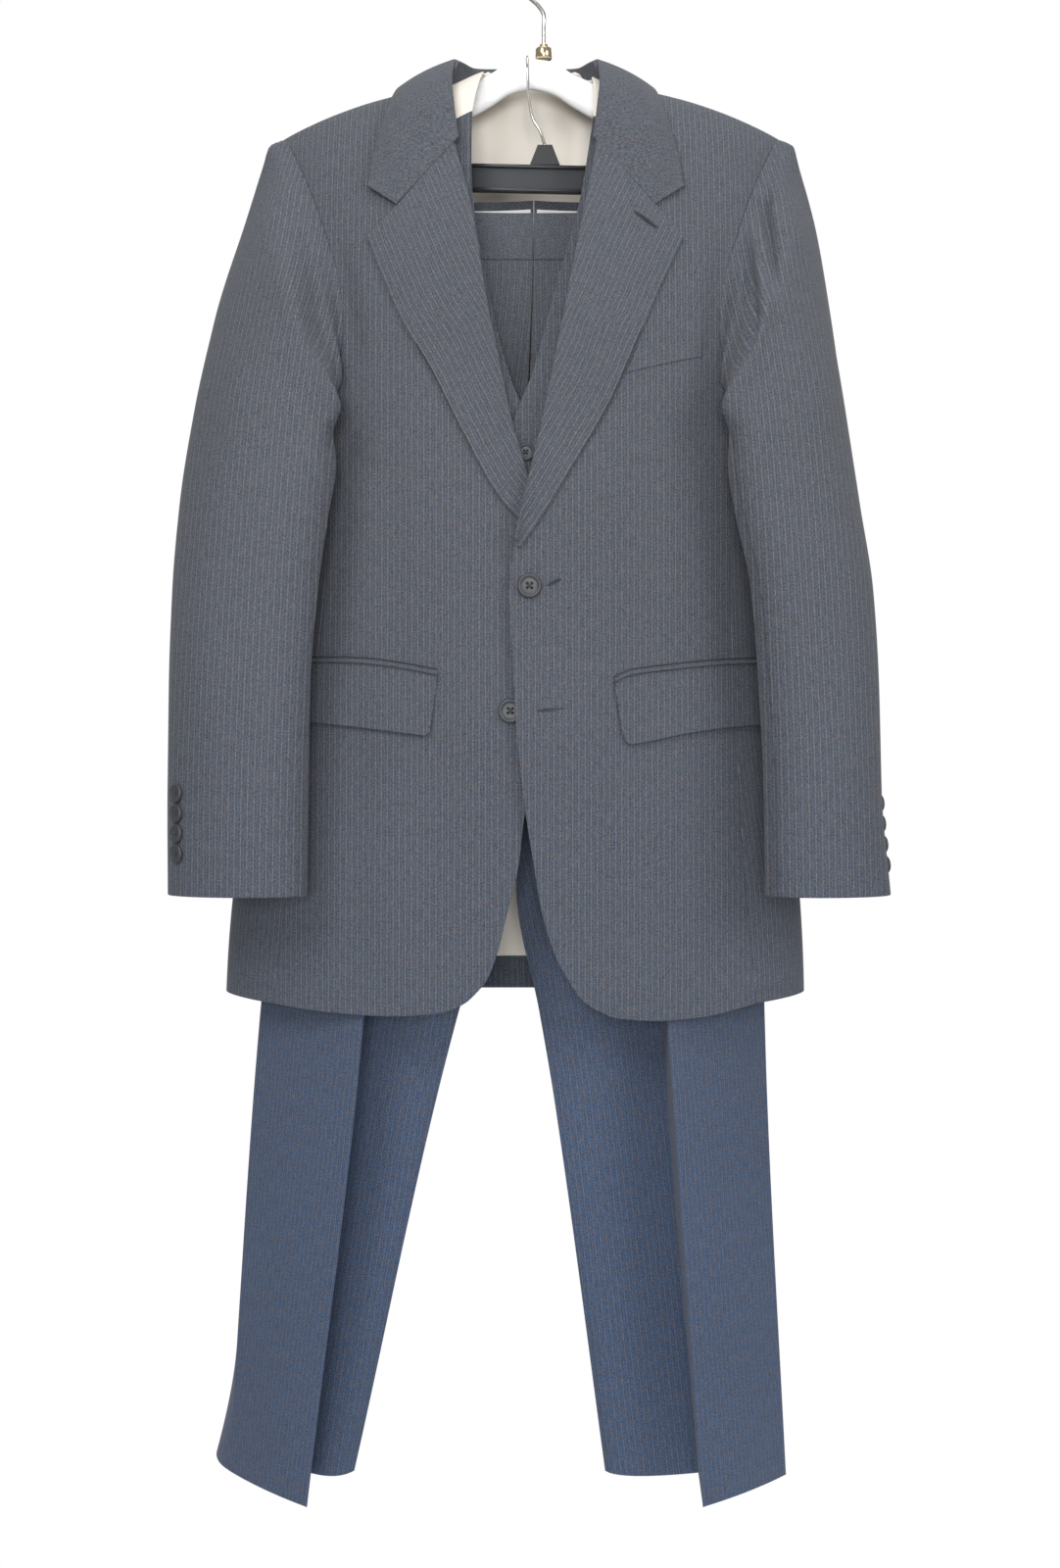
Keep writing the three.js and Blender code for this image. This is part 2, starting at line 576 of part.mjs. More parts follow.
function flap(which) {
  const { top, bottom, inner } = FLAP[which.word];
  const sheet = jacketFront.patch(edge(top), edge(bottom), edge(inner), straight(top.at(-1), bottom.at(-1)));
  return onFront(`jacket_flap_${which.word}`, which, sheet, 6, 4, JACKET_CLOTH,
    (v) => JACKET_CLOTH + FLAP_REST.top + FLAP_REST.swing * v);
}

function jet(which) {
  const line = FLAP[which.word].top;
  const [over, under] = [shifted(line, 0, JET.above), shifted(line, 0, JET.below)];
  const sheet = jacketFront.patch(edge(over), edge(under), straight(over[0], under[0]),
    straight(over.at(-1), under.at(-1)));
  return onFront(`jacket_jet_${which.word}`, which, sheet, 6, 1, JET.thickness, () => JET.lift);
}

function chestWelt() {
  const { bottom, top } = WELT;
  const sheet = jacketFront.patch(edge(top), edge(bottom), straight(top[0], bottom[0]),
    straight(top[2], bottom[2]));
  return onFront('jacket_chest_welt', SIDES[1], sheet, 4, 2, WELT.thickness, () => WELT.lift);
}

// ---------------------------------------------------------------- buttons

// A button's profile as shares of its radius and thickness: rounded edge, raised rim, dish.
const BUTTON_PROFILE = [[0, 0], [0.85, 0], [1, 0.5], [0.85, 1], [0.7, 0.7], [0, 0.6]];

// A button: a dished disc with a raised rim, its back at `point` and its face outwards.
function button(name, { radius, thickness }, segments, point, outward) {
  const profile = BUTTON_PROFILE.map(([r, h]) => new THREE.Vector2(r * radius, h * thickness));
  const shape = new THREE.LatheGeometry(profile, segments);
  const mesh = piece(name, 'button', shape);
  mesh.quaternion.setFromUnitVectors(vec(0, 1, 0), outward);
  mesh.position.copy(point);
  return mesh;
}

const BUTTON_SEAT = { front: 0.35, sleeve: 0.5 };  // space between a button and its cloth

// The outward normal of the jacket's front at (x, z).
function frontNormal(face_, x, z) {
  const step = 0.5;
  const dx = face_.point(x + step, z).sub(face_.point(x - step, z));
  const dz = face_.point(x, z + step).sub(face_.point(x, z - step));
  return dx.cross(dz).normalize();
}

function frontButtons() {
  const places = [
    { name: 'jacket_button_top', x: -12.1, z: -541.6, above: LAP },
    { name: 'jacket_button_low', x: -27.5, z: -641.3, above: 0 },
  ];
  return places.map(({ name, x, z, above }) => {
    const out = frontNormal(jacketFront, x, z);
    const seat = jacketFront.point(x, z).addScaledVector(out, above + BUTTON_SEAT.front);
    return button(name, BUTTON_FRONT, 20, seat, out);
  });
}

// Four buttons up each sleeve, edge to edge: how far round, and the rows from first to last.
const SLEEVE_BUTTONS = { count: 4, share: { left: 0.15, right: 0.005 },
  rows: { left: [9.03, 9.6], right: [9.13, 9.72] } };

function sleeveButtons(which) {
  const skin = sleeveSurface(which);
  const [first, last] = SLEEVE_BUTTONS.rows[which.word];
  const share = SLEEVE_BUTTONS.share[which.word];
  return Array.from({ length: SLEEVE_BUTTONS.count }, (_, i) => {
    const row = mix(first, last, i / (SLEEVE_BUTTONS.count - 1));
    const [round, down] = [1e-3, 1e-2];
    const around = skin(share + round, row).sub(skin(share - round, row));
    const along = skin(share, row + down).sub(skin(share, row - down));
    const out = around.cross(along).normalize().multiplyScalar(which.side);
    const seat = skin(share, row).addScaledVector(out, BUTTON_SEAT.sleeve);
    return button(`jacket_sleeve_button_${which.word}_${i + 1}`, BUTTON_SLEEVE, 10, seat, out);
  });
}

// ---------------------------------------------------------------- the vest

const vestRing = sections(['z', 'middle', 'half', 'front', 'back'], [
  [-90, -10.5, 205, 63, 48],
  [-150, -10.5, 205, 65, 50],
  [-290, -10.5, 197, 73, 63],
  [-395, -11, 193, 76, 68],
  [-480, -12, 189, 77, 70],
  [-600, -16, 197, 77, 71],
  [-720, -21, 213, 77, 72],
]);
// The vest's shoulders lie on the hanger; its crest by reach from the shoulders' middle.
const vestCrestRow = sections(['reach', 'height'], [
  [0, -62], [20, -75], [34, -93], [45, -97.5], [52, -100.5], [60, -104.3], [67, -107.2],
  [80, -110.4], [92, -113.1], [105, -116.9], [120, -121.2], [160, -134], [215, -157],
]);
const vestCrest = (x) => vestCrestRow(Math.abs(x - SHOULDER_X)).height;
const vestFront = face({ ring: vestRing, column: 'front', sign: -1, top: FRONT_TOP,
  crest: vestCrest, power: RING_POWER });
const vestBack = face({ ring: vestRing, column: 'back', sign: 1, top: BACK_TOP,
  crest: vestCrest, power: RING_POWER });
const VEST_LAP = { out: 2.8, edge: 22, end: 72, top: -340, full: -385 };
const VEST_STRAP = { left: [-51, -128], right: [41, 107] };     // x of the shoulder seams' ends
const VEST_EDGE = {
  left: [[-58, -130], [-60, -160], [-57.4, -229], [-40.6, -323], [-23, -383], [-4, -415],
    [4, -470], [4, -660], [-10, -698]],
  right: [[42, -130], [39, -160], [27.6, -229], [8.4, -299], [-8.5, -363], [-20, -392],
    [-31, -425], [-33, -470], [-33, -660], [-20, -698]],
};
const VEST_ARMHOLE = [[116, -160], [118, -230], [132, -300], [158, -360]];
const vestSeam = sections(['z', 'reach'], [[-400, 172], [-520, 168], [-668, 176]]);
const VEST_UNDERARM = -400;
const VEST_SEAM_GAP = 0.6;
const VEST_HEM = { points: [[48, -702], [110, -684]], side: -668,     // reach from NECK_X, height
  back: [[-120, -670], [NECK_X, -674], [88, -670]] };

// Points down one of the vest's side seams, `over` further round than its front seam.
function vestSeamPoints(side, over) {
  const steps = 8;
  return Array.from({ length: steps }, (_, i) => {
    const z = mix(VEST_UNDERARM, VEST_HEM.side, i / (steps - 1));
    return [vestRing(z).middle + side * (vestSeam(z).reach + over - VEST_SEAM_GAP), z];
  });
}

function vestFrontPanel({ side, word }) {
  const [neck, arm] = VEST_STRAP[word];
  const top = (t) => {
    const x = mix(neck, arm, t);
    return flat(x, vestCrest(x) - CREST_GAP);
  };
  const seam = vestSeamPoints(side, 0);
  const inner = edge([[neck, top(0).y], ...VEST_EDGE[word]]);
  const outer = edge([[arm, top(1).y], ...fromMiddle(side, VEST_ARMHOLE), ...seam]);
  const points = VEST_HEM.points.map(([reach, z]) => [NECK_X + side * reach, z]);
  const hem = edge([VEST_EDGE[word].at(-1), ...points, seam.at(-1)]);
  const sheet = vestFront.patch(top, hem, inner, outer);
  const lift = (u, v) => {
    if (side < 0) return 0;
    const p = sheet(u, v);
    const { out, edge: near, end, top: high, full } = VEST_LAP;
    return out * (1 - smooth(near, end, p.x)) * smooth(high, full, p.y);
  };
  return wall(`vest_front_${word}`, 'suit', vestFront.drawn(sheet),
    { across: 6, down: 12, thickness: VEST_CLOTH, lift, side: -side });
}

const VEST_BACK_NECK = [[-38, -91], [-15.2, -88], [14, -90]];
const VEST_BACK_OVER = 4;       // how much further round the back's side seams lie
const VEST_ARM_OVER = 6;        // how much wider its armholes are than the fronts'

function vestBackPanel() {
  const shoulder = (word) => {
    const [neck, arm] = VEST_STRAP[word];
    return [0, 0.5, 1].map((t) => [mix(neck, arm, t), vestCrest(mix(neck, arm, t)) - CREST_GAP]);
  };
  const outer = ({ side, word }) => edge([shoulder(word)[2],
    ...fromMiddle(side, VEST_ARMHOLE, -VEST_ARM_OVER), ...vestSeamPoints(side, VEST_BACK_OVER)]);
  const top = edge([...shoulder('left').reverse(), ...VEST_BACK_NECK, ...shoulder('right')]);
  const [left, right] = SIDES.map(outer);
  const hem = edge([[left(1).x, left(1).y], ...VEST_HEM.back, [right(1).x, right(1).y]]);
  return wall('vest_back', 'lining', vestBack.drawn(vestBack.patch(top, hem, left, right)),
    { across: 16, down: 10, thickness: VEST_CLOTH, side: 1 });
}

// The vest's sides, under the arms, between its fronts and its back.
function vestSide({ side, word }) {
  const surface = (u, v) => {
    const z = mix(VEST_UNDERARM - 2 * VEST_SEAM_GAP, VEST_HEM.side, v);
    const ring = vestRing(z);
    const { reach } = vestSeam(z);
    const angle = (r) => Math.acos((r / ring.half) ** (RING_POWER / 2));
    const turn = mix(-angle(reach + VEST_SEAM_GAP), angle(reach + VEST_BACK_OVER + VEST_SEAM_GAP), u);
    const x = ring.half * Math.cos(turn) ** (2 / RING_POWER);
    const y = Math.sign(turn) * Math.abs(Math.sin(turn)) ** (2 / RING_POWER);
    return vec(ring.middle + side * x, y * (turn < 0 ? ring.front : ring.back), z);
  };
  return wall(`vest_side_${word}`, 'lining', surface,
    { across: 4, down: 5, thickness: VEST_CLOTH, side: -side });
}

const VEST_BUTTONS = { count: 5, x: -15, first: -432, last: -655 };

function vestButtons() {
  return Array.from({ length: VEST_BUTTONS.count }, (_, i) => {
    const z = mix(VEST_BUTTONS.first, VEST_BUTTONS.last, i / (VEST_BUTTONS.count - 1));
    const out = frontNormal(vestFront, VEST_BUTTONS.x, z);
    const seat = vestFront.point(VEST_BUTTONS.x, z).addScaledVector(out, VEST_LAP.out + BUTTON_SEAT.front);
    return button(`vest_button_${i + 1}`, BUTTON_VEST, 10, seat, out);
  });
}

// ---------------------------------------------------------------- the trousers

// Sections of each trouser leg: the outer seam, the front crease, the valley the inner panel
// makes behind it, its bulge, the inner seam (the middle seam above the crotch), the back
// crease, and the y of the seat seam.
const LEG_COLUMNS = ['z', 'outerX', 'outerY', 'creaseX', 'creaseY', 'foldX', 'foldY', 'bulgeX',
  'bulgeY', 'innerX', 'innerY', 'backX', 'backY', 'seatY'];
const LEG_ROWS = {
  left: [
    [-209, -182, -18, -95, -30, -88, -30.5, -45, -33, -8.9, -34, -95, -8, -3],
    [-264, -182, -16, -96, -34, -90, -34.5, -48, -37, -9.3, -38, -96, 2, 6],
    [-390, -183, -4, -108, -48, -104, -47, -60, -46, -13.7, -42, -110, 34, 30],
    [-505, -189, 0, -122, -55, -119, -50, -70, -44, -16, -12, -124, 48, -10.4],
    [-650, -206, 0, -132, -58, -131, -40, -75, -42, -18.2, -16, -136, 50, -14.4],
    [-790, -228, 0, -141, -67, -143, -22, -84, -38, -37, -18, -148, 56, -16.4],
    [-890, -241, 0, -147, -73, -151, -12, -102, -34, -71, -20, -158, 64, -18.4],
    [-1284, -268, 0, -192, -81, -199, -5, -173, -23, -161, 0, -286, 61, 1.6],
  ],
  right: [
    [-209, 165, -18, 78, -30, 71, -30.5, 28, -33, -8.1, -34, 78, -8, -3],
    [-264, 165, -16, 79, -34, 73, -34.5, 31, -37, -8.5, -38, 79, 2, 6],
    [-390, 162, -4, 82, -48, 78, -47, 36, -46, -12.3, -42, 84, 34, 30],
    [-505, 167, 0, 88, -55, 85, -50, 40, -44, -14, -12, 90, 48, -10.4],
    [-650, 177, 0, 92, -58, 91, -40, 42, -42, -11.8, -16, 92, 50, -14.4],
    [-790, 185, 0, 96, -67, 96, -22, 30, -38, -23, -18, 92, 56, -16.4],
    [-890, 188, 0, 100, -73, 99, -12, 33, -34, -4.3, -20, 94, 64, -18.4],
    [-965, 190, -2, 105, -75, 104, -9, 39, -32, 8.5, -20, 98, 68, -18.4],
    [-1284, 205, -9, 128, -81, 131, -5, 62, -23, 52, 0, 125, 50, 1.6],
  ],
};
const legRow = {
  left: sections(LEG_COLUMNS, LEG_ROWS.left),
  right: sections(LEG_COLUMNS, LEG_ROWS.right),
};
const LEG_HEM = -1284;
const WAIST_MIDDLE = -8.5;
const BAND_SEAM = 0.9;          // space between the waistband and the panels below it
// The trousers hang from their two sides, so the waistband sags between them.
const WAISTBAND = { height: 40, top: -212, frontSag: 13, backSag: -7, reach: 160 };

const sag = (x, most) => most * (1 - Math.min(1, ((x - WAIST_MIDDLE) / WAISTBAND.reach) ** 2));
const bow = (a, b, t, out) => {
  const [dx, dy] = [b[0] - a[0], b[1] - a[1]];
  const length = Math.hypot(dx, dy) || 1;
  const swell = 4 * out * t * (1 - t);
  return [mix(a[0], b[0], t) + swell * dy / length, mix(a[1], b[1], t) - swell * dx / length];
};
const LEG_CREASE = 0.45;        // share of the front panel that lies outside its crease
const LEG_FOLD = 0.62;
const LEG_BACK = 0.5;
const LEG_BOW = { front: 3, back: 6 };  // how far the panels bow out between seam and crease
const SEAT_GAP = 1.6;           // space between a leg's front and back at their seams
// The panels' columns of facets, with one on each crease.
const FRONT_COLUMNS = [0, 0.15, 0.3, LEG_CREASE, 0.535, LEG_FOLD, 0.71, 0.8, 0.9, 1];
const BACK_COLUMNS = [0, 0.125, 0.25, 0.375, LEG_BACK, 0.625, 0.75, 0.875, 1];

// A leg's front from the outer seam (u = 0) over the crease to the inner seam (u = 1).
function legFront(word, side, u, z) {
  const row = legRow[word](z);
  const [outer, crease] = [[row.outerX, row.outerY], [row.creaseX, row.creaseY]];
  const [fold, bulge, inner] = [[row.foldX, row.foldY], [row.bulgeX, row.bulgeY], [row.innerX, row.innerY]];
  if (u <= LEG_CREASE) return bow(outer, crease, u / LEG_CREASE, -side * LEG_BOW.front);
  if (u <= LEG_FOLD) return bow(crease, fold, (u - LEG_CREASE) / (LEG_FOLD - LEG_CREASE), 0);
  const t = (u - LEG_FOLD) / (1 - LEG_FOLD);
  return [0, 1].map((k) => (1 - t) ** 2 * fold[k] + 2 * t * (1 - t) * bulge[k] + t * t * inner[k]);
}

// A leg's back from the inner seam (u = 0) over the back crease to the outer seam (u = 1).
function legBack(word, side, u, z) {
  const row = legRow[word](z);
  const seam = [row.innerX, Math.max(row.seatY, row.innerY + SEAT_GAP)];
  const back = [row.backX, row.backY];
  const outer = [row.outerX, row.outerY + SEAT_GAP];
  if (u <= LEG_BACK) return bow(seam, back, u / LEG_BACK, -side * LEG_BOW.back);
  return bow(back, outer, (u - LEG_BACK) / (1 - LEG_BACK), -side * LEG_BOW.back);
}

// How far a point of the waist hangs below the two clips.
const sagAt = (which, shape, u, most) => sag(shape(which.word, which.side, u, WAISTBAND.top)[0], most);

function trouserPanel(which, name, shape, { sagging, stops }) {
  const start = WAISTBAND.top - WAISTBAND.height - BAND_SEAM;
  const surface = (u, v) => {
    const z = mix(start - sagAt(which, shape, u, sagging), LEG_HEM, v);
    const [x, y] = shape(which.word, which.side, u, z);
    return vec(x, y, z);
  };
  return wall(`trouser_${name}_${which.word}`, 'trouser', surface,
    { across: stops.length - 1, stops, down: 12, thickness: TROUSER_CLOTH, side: -which.side });
}

const BAND = { thickness: 2, lift: 0.4, from: 0.004, to: 0.996, drop: 0, deep: WAISTBAND.height };
const BAND_LINING = { thickness: 0.8, lift: -2.5, from: 0.02, to: 0.6, drop: 3, deep: 33 };

function waistband(which, name, finish, shape, sagging, { thickness, lift, from, to, drop, deep }) {
  const top = WAISTBAND.top - drop;
  const surface = (u, v) => {
    const share = mix(from, to, u);
    const z = mix(top, top - deep, v) - sagAt(which, shape, share, sagging);
    const [x, y] = shape(which.word, which.side, share, z);
    return vec(x, y, z);
  };
  return wall(`${name}_${which.word}`, finish, surface,
    { across: 6, down: 2, thickness, lift, side: -which.side });
}

function trousers() {
  const { frontSag, backSag } = WAISTBAND;
  return SIDES.flatMap((which) => [
    trouserPanel(which, 'front', legFront, { sagging: frontSag, stops: FRONT_COLUMNS }),
    trouserPanel(which, 'back', legBack, { sagging: backSag, stops: BACK_COLUMNS }),
    waistband(which, 'waistband_front', 'trouser', legFront, frontSag, BAND),
    waistband(which, 'waistband_back', 'trouser', legBack, backSag, BAND),
    waistband(which, 'waistband_lining', 'waistLining', legBack, backSag, BAND_LINING),
  ]);
}

// ---------------------------------------------------------------- the two hangers

// A closed solid through rings of equal count, capped at both ends.
function loft(name, finish, rings) {
  const count = rings[0].length;
  const positions = rings.flat().flatMap((p) => p.toArray());
  const caps = [rings[0], rings.at(-1)].map((ring) =>
    ring.reduce((sum, p) => sum.add(p), vec(0, 0, 0)).divideScalar(count));
  caps.forEach((p) => positions.push(...p.toArray()));
  const triangles = [];
  const last = rings.length - 1;
  const at = (k, i) => k * count + (i % count);
  for (let i = 0; i < count; i++) {
    for (let k = 0; k < last; k++) {
      triangles.push(at(k, i), at(k, i + 1), at(k + 1, i + 1), at(k, i), at(k + 1, i + 1), at(k + 1, i));
    }
    triangles.push(rings.length * count, at(0, i + 1), at(0, i));
    triangles.push(rings.length * count + 1, at(last, i), at(last, i + 1));
  }
  return solid(name, finish, positions, triangles);
}

// Half of the suit hanger: its top, its underside, its width in y, and how far it bends forward.
const hangerRow = sections(['reach', 'top', 'under', 'wide'], [
  [0, -83.5, -109.5, 12],
  [18, -86, -114, 12],
  [34, -96, -124, 11],
  [52, -104.6, -134, 11],
  [67, -112, -140, 11.5],
  [80, -116.4, -144, 13],
  [105, -123.6, -151, 16],
  [130, -131, -158, 20],
  [160, -142, -166, 20],
  [185, -155, -172, 18],
]);
const HANGER_REACH = 185;
const HANGER_ROUND = 0.9;       // 1 is an ellipse, less is squarer

function suitHanger() {
  const [steps, sides] = [20, 10];
  const rings = Array.from({ length: steps + 1 }, (_, k) => {
    const way = mix(-1, 1, k / steps);
    const row = hangerRow(HANGER_REACH * Math.abs(way));
    const [middle, high] = [(row.top + row.under) / 2, (row.top - row.under) / 2];
    return Array.from({ length: sides }, (_, i) => {
      const a = 2 * Math.PI * (i + 0.5) / sides;
      const [c, s] = [Math.cos(a), Math.sin(a)];
      const round = (t) => Math.sign(t) * Math.abs(t) ** HANGER_ROUND;
      return vec(SHOULDER_X + HANGER_REACH * way, round(c) * row.wide / 2, middle + round(s) * high);
    });
  });
  return loft('hanger_body', 'whitePlastic', rings);
}

const FERRULE = { radius: 7, neck: 3.4, top: -71, step: -75, bottom: -83.1 };
const HOOK_MIDDLE = -(HOOK_LOOP - HOOK_WIRE / 2);   // height of the loop's middle

function ferrule() {
  const { radius, neck, top, step, bottom } = FERRULE;
  const profile = [[0, bottom], [radius, bottom], [radius, step], [neck, step], [neck, top], [0, top]];
  const shape = new THREE.LatheGeometry(profile.map(([r, h]) => new THREE.Vector2(r, h)), 16);
  return piece('hanger_ferrule', 'wire', shape.rotateX(Math.PI / 2));
}

const WIRE_FACETS = { sides: 8, steps: 30 };

// A round wire along a curve.
function wire(name, points, diameter) {
  const { sides, steps } = WIRE_FACETS;
  const turn = 2 * Math.PI / sides;
  const circle = Array.from({ length: sides }, (_, i) =>
    new THREE.Vector2(Math.cos(turn * i), Math.sin(turn * i)).multiplyScalar(diameter / 2));
  const extrudePath = new THREE.CatmullRomCurve3(points, false, 'centripetal');
  const shape = new THREE.Shape(circle);
  return piece(name, 'wire', new THREE.ExtrudeGeometry(shape, { steps, extrudePath }));
}

// The hook's neck, as x and z, then its loop, from one angle round to the other.
const HOOK_NECK = [[0, -56], [0, -46], [-5.5, -37.5]];
const HOOK_TURN = { from: 218, to: -30, step: -20 };

function hook() {
  const points = [vec(0, 0, FERRULE.top + SEAM), ...HOOK_NECK.map(([x, z]) => vec(x, 0, z))];
  for (let degrees = HOOK_TURN.from; degrees >= HOOK_TURN.to; degrees += HOOK_TURN.step) {
    const a = THREE.MathUtils.degToRad(degrees);
    points.push(vec(HOOK_LOOP * Math.cos(a), 0, HOOK_MIDDLE + HOOK_LOOP * Math.sin(a)));
  }
  return wire('hanger_hook', points, HOOK_WIRE);
}

const BAR = { y: -20, left: -172, right: 152, top: -181, high: 22.5, deep: 8, flange: 2.6, web: 2.6,
  slope: 1.2 };
const barTop = (x) => BAR.top - Math.tan(THREE.MathUtils.degToRad(BAR.slope)) * (x - WAIST_MIDDLE);
const BOSS = { x: 0.8, foot: 25, head: 12, high: 16.5, deep: 6 };

// A prism: an outline of (a, b) points carried a length along its own z.
function prism(outline, length) {
  const shape = new THREE.Shape(outline.map(([a, b]) => new THREE.Vector2(a, b)));
  return new THREE.ExtrudeGeometry(shape, { depth: length, bevelEnabled: false });
}

// Turns a prism so that its outline lies in the (y, z) plane and its length along x.
const lengthwise = (geometry) => geometry.applyMatrix4(
  new THREE.Matrix4().makeBasis(vec(0, 1, 0), vec(0, 0, 1), vec(1, 0, 0)));

function bar() {
  const { high, deep, flange, web } = BAR;
  const [d, w] = [deep / 2, web / 2];
  const outline = [[-d, 0], [-d, -flange], [-w, -flange], [-w, flange - high], [-d, flange - high],
    [-d, -high], [d, -high], [d, flange - high], [w, flange - high], [w, -flange], [d, -flange], [d, 0]];
  const mesh = piece('clip_hanger_bar', 'blackPlastic', lengthwise(prism(outline, BAR.right - BAR.left)));
  mesh.rotation.y = THREE.MathUtils.degToRad(BAR.slope);
  mesh.position.set(BAR.left, BAR.y, barTop(BAR.left));
  return mesh;
}

function boss() {
  const { foot, head, high, deep } = BOSS;
  const outline = [[-foot / 2, 0], [foot / 2, 0], [head / 2, high], [-head / 2, high]];
  const mesh = piece('clip_hanger_boss', 'blackPlastic', prism(outline, deep));
  mesh.rotation.x = Math.PI / 2;
  mesh.position.set(BOSS.x, BAR.y + deep / 2, barTop(BOSS.x - foot / 2) + SEAM);
  return mesh;
}

// The bar's wire hook rises from the boss, rides over the suit hanger and hangs down behind it.
const CLIP_HOOK = [[-3, BAR.y, -152], [-8.6, -18, -142], [-12.6, -13.5, -122], [-13.6, -10.2, -104],
  [-14, -8.6, -92], [-14, -5.4, -84.9], [-14, 0, -82.2], [-14, 5.4, -84.9], [-14, 8.6, -92],
  [-14, 10, -102]];

function clipHook() {
  const start = barTop(BOSS.x - BOSS.foot / 2) + SEAM + BOSS.high + SEAM;
  const points = [vec(BOSS.x, BAR.y, start), ...CLIP_HOOK.map(([x, y, z]) => vec(x, y, z))];
  return wire('clip_hanger_hook', points, CLIP_WIRE);
}

// A clip under each end of the bar holds the waistband's front and back together.
const CLIP = { reach: 142, wide: 22, jaw: 2.4, bridge: 2.6, hang: 24, clear: 3.9, height: -225 };

// The y of a trouser half at x, at the height the clips hold it.
function depthAt(shape, { side, word }, x) {
  const steps = 200;
  const near = Array.from({ length: steps + 1 }, (_, i) => shape(word, side, i / steps, CLIP.height))
    .sort((a, b) => Math.abs(a[0] - x) - Math.abs(b[0] - x))[0];
  return near[1];
}

function clip(which) {
  const x = WAIST_MIDDLE + which.side * CLIP.reach;
  const z = barTop(x + CLIP.wide / 2) - BAR.high - SEAM;
  const front = depthAt(legFront, which, x) - CLIP.clear;
  const back = depthAt(legBack, which, x) + CLIP.clear;
  const { jaw, bridge, hang } = CLIP;
  const outline = [[front - jaw, 0], [front - jaw, -hang], [front, -hang], [front, -bridge],
    [back, -bridge], [back, -hang], [back + jaw, -hang], [back + jaw, 0]];
  const mesh = piece(`clip_${which.word}`, 'blackPlastic', lengthwise(prism(outline, CLIP.wide)));
  mesh.position.set(x - CLIP.wide / 2, 0, z);
  return mesh;
}

// ---------------------------------------------------------------- the suit

const group = new THREE.Group();
for (const which of SIDES) {
  group.add(jacketFrontPanel(which), jacketSidePanel(which), jacketBackPanel(which));
  group.add(sleevePanel(which, 'sleeve_top'));
  group.add(sleevePanel(which, 'sleeve_under'));
  group.add(lapel(which), flap(which), jet(which), ...sleeveButtons(which));
  group.add(vestFrontPanel(which), vestSide(which), clip(which));
}
group.add(jacketBackLining(), collarFall(), collarStand(), chestWelt(), ...frontButtons());
group.add(vestBackPanel(), ...vestButtons(), ...trousers());
group.add(suitHanger(), ferrule(), hook(), bar(), boss(), clipHook());
export default group;
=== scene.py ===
"""A three-piece suit on its hangers: jacket, vest and trousers in striped worsted, a contoured
suit hanger and a bar hanger with clips, drawn from their cutting sizes.

The tables are in millimetres, and MM turns them into metres as each mesh is written. The suit's
front faces -Y, and the origin is the inside of the top of the suit hanger's hook.
"""

import logging
import math
from dataclasses import dataclass, field
from enum import Enum
from functools import cached_property
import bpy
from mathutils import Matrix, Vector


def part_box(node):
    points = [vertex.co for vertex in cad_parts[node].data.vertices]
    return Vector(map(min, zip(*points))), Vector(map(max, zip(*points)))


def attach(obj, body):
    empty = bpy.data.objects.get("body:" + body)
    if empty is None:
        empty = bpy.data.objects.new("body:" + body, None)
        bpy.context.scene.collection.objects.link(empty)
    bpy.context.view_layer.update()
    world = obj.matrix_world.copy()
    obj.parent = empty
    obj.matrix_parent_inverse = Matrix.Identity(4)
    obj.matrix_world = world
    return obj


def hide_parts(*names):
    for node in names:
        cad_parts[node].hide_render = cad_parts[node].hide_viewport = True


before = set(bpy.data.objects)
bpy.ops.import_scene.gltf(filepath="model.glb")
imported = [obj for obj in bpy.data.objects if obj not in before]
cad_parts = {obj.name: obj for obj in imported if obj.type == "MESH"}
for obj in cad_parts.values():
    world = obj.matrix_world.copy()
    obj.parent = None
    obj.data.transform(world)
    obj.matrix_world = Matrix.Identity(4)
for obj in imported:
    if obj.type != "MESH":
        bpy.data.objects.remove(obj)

from types import SimpleNamespace
from typing import Any, Callable, Sequence

import bpy
import numpy as np
from mathutils import Vector

LOG = logging.getLogger("suit")
MM = 0.001
Array = np.ndarray
Curve = Callable[[Array], Array]
Surface = Callable[[Array, Array], Array]
Outline = Sequence[tuple[float, float]]
Colour = tuple[float, float, float]
Rows = tuple[tuple[float, ...], ...]
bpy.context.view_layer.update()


# ---- shared arithmetic


def smooth(low: float, high: float, value: Array) -> Array:
    """A soft step: 0 at low, 1 at high, 3t2 - 2t3 between them."""
    t = np.clip((value - low) / (high - low), 0.0, 1.0)
    return t * t * (3 - 2 * t)


def mix(a: Any, b: Any, t: Any) -> Any:
    """The straight blend of a and b, a share t of the way."""
    return a + (b - a) * t


def unit(vectors: Array) -> Array:
    """Vectors scaled to length one."""
    length = np.linalg.norm(vectors, axis=-1, keepdims=True)
    return vectors / np.maximum(length, 1e-12)


def spread(*parts: Any) -> Array:
    """Points whose coordinates are the parts, broadcast to one shape."""
    return np.stack(np.broadcast_arrays(*parts), -1)


def circle(count: int) -> Array:
    """The angles of evenly spaced points round a circle."""
    return np.linspace(0, 2 * np.pi, count, endpoint=False)


def arcs(points: Array, axis: int = 0) -> Array:
    """The running arc length along one axis of a grid or a line of points, from 0."""
    step = np.linalg.norm(np.diff(points, axis=axis), axis=-1)
    return np.insert(np.cumsum(step, axis=axis), 0, 0.0, axis=axis)


class Side(Enum):
    """The viewer's left or right, -X or +X."""

    LEFT = -1
    RIGHT = 1

    @property
    def word(self) -> str:
        """The side's name."""
        return self.name.lower()

    def out(self, reach: Any, middle: float) -> Any:
        """The x of a reach out to this side of a middle."""
        return middle + self.value * reach


def both(left: Any, right: Any) -> Any:
    """A dataclass field with one value for each side."""
    return field(default_factory=lambda: {Side.LEFT: left, Side.RIGHT: right})


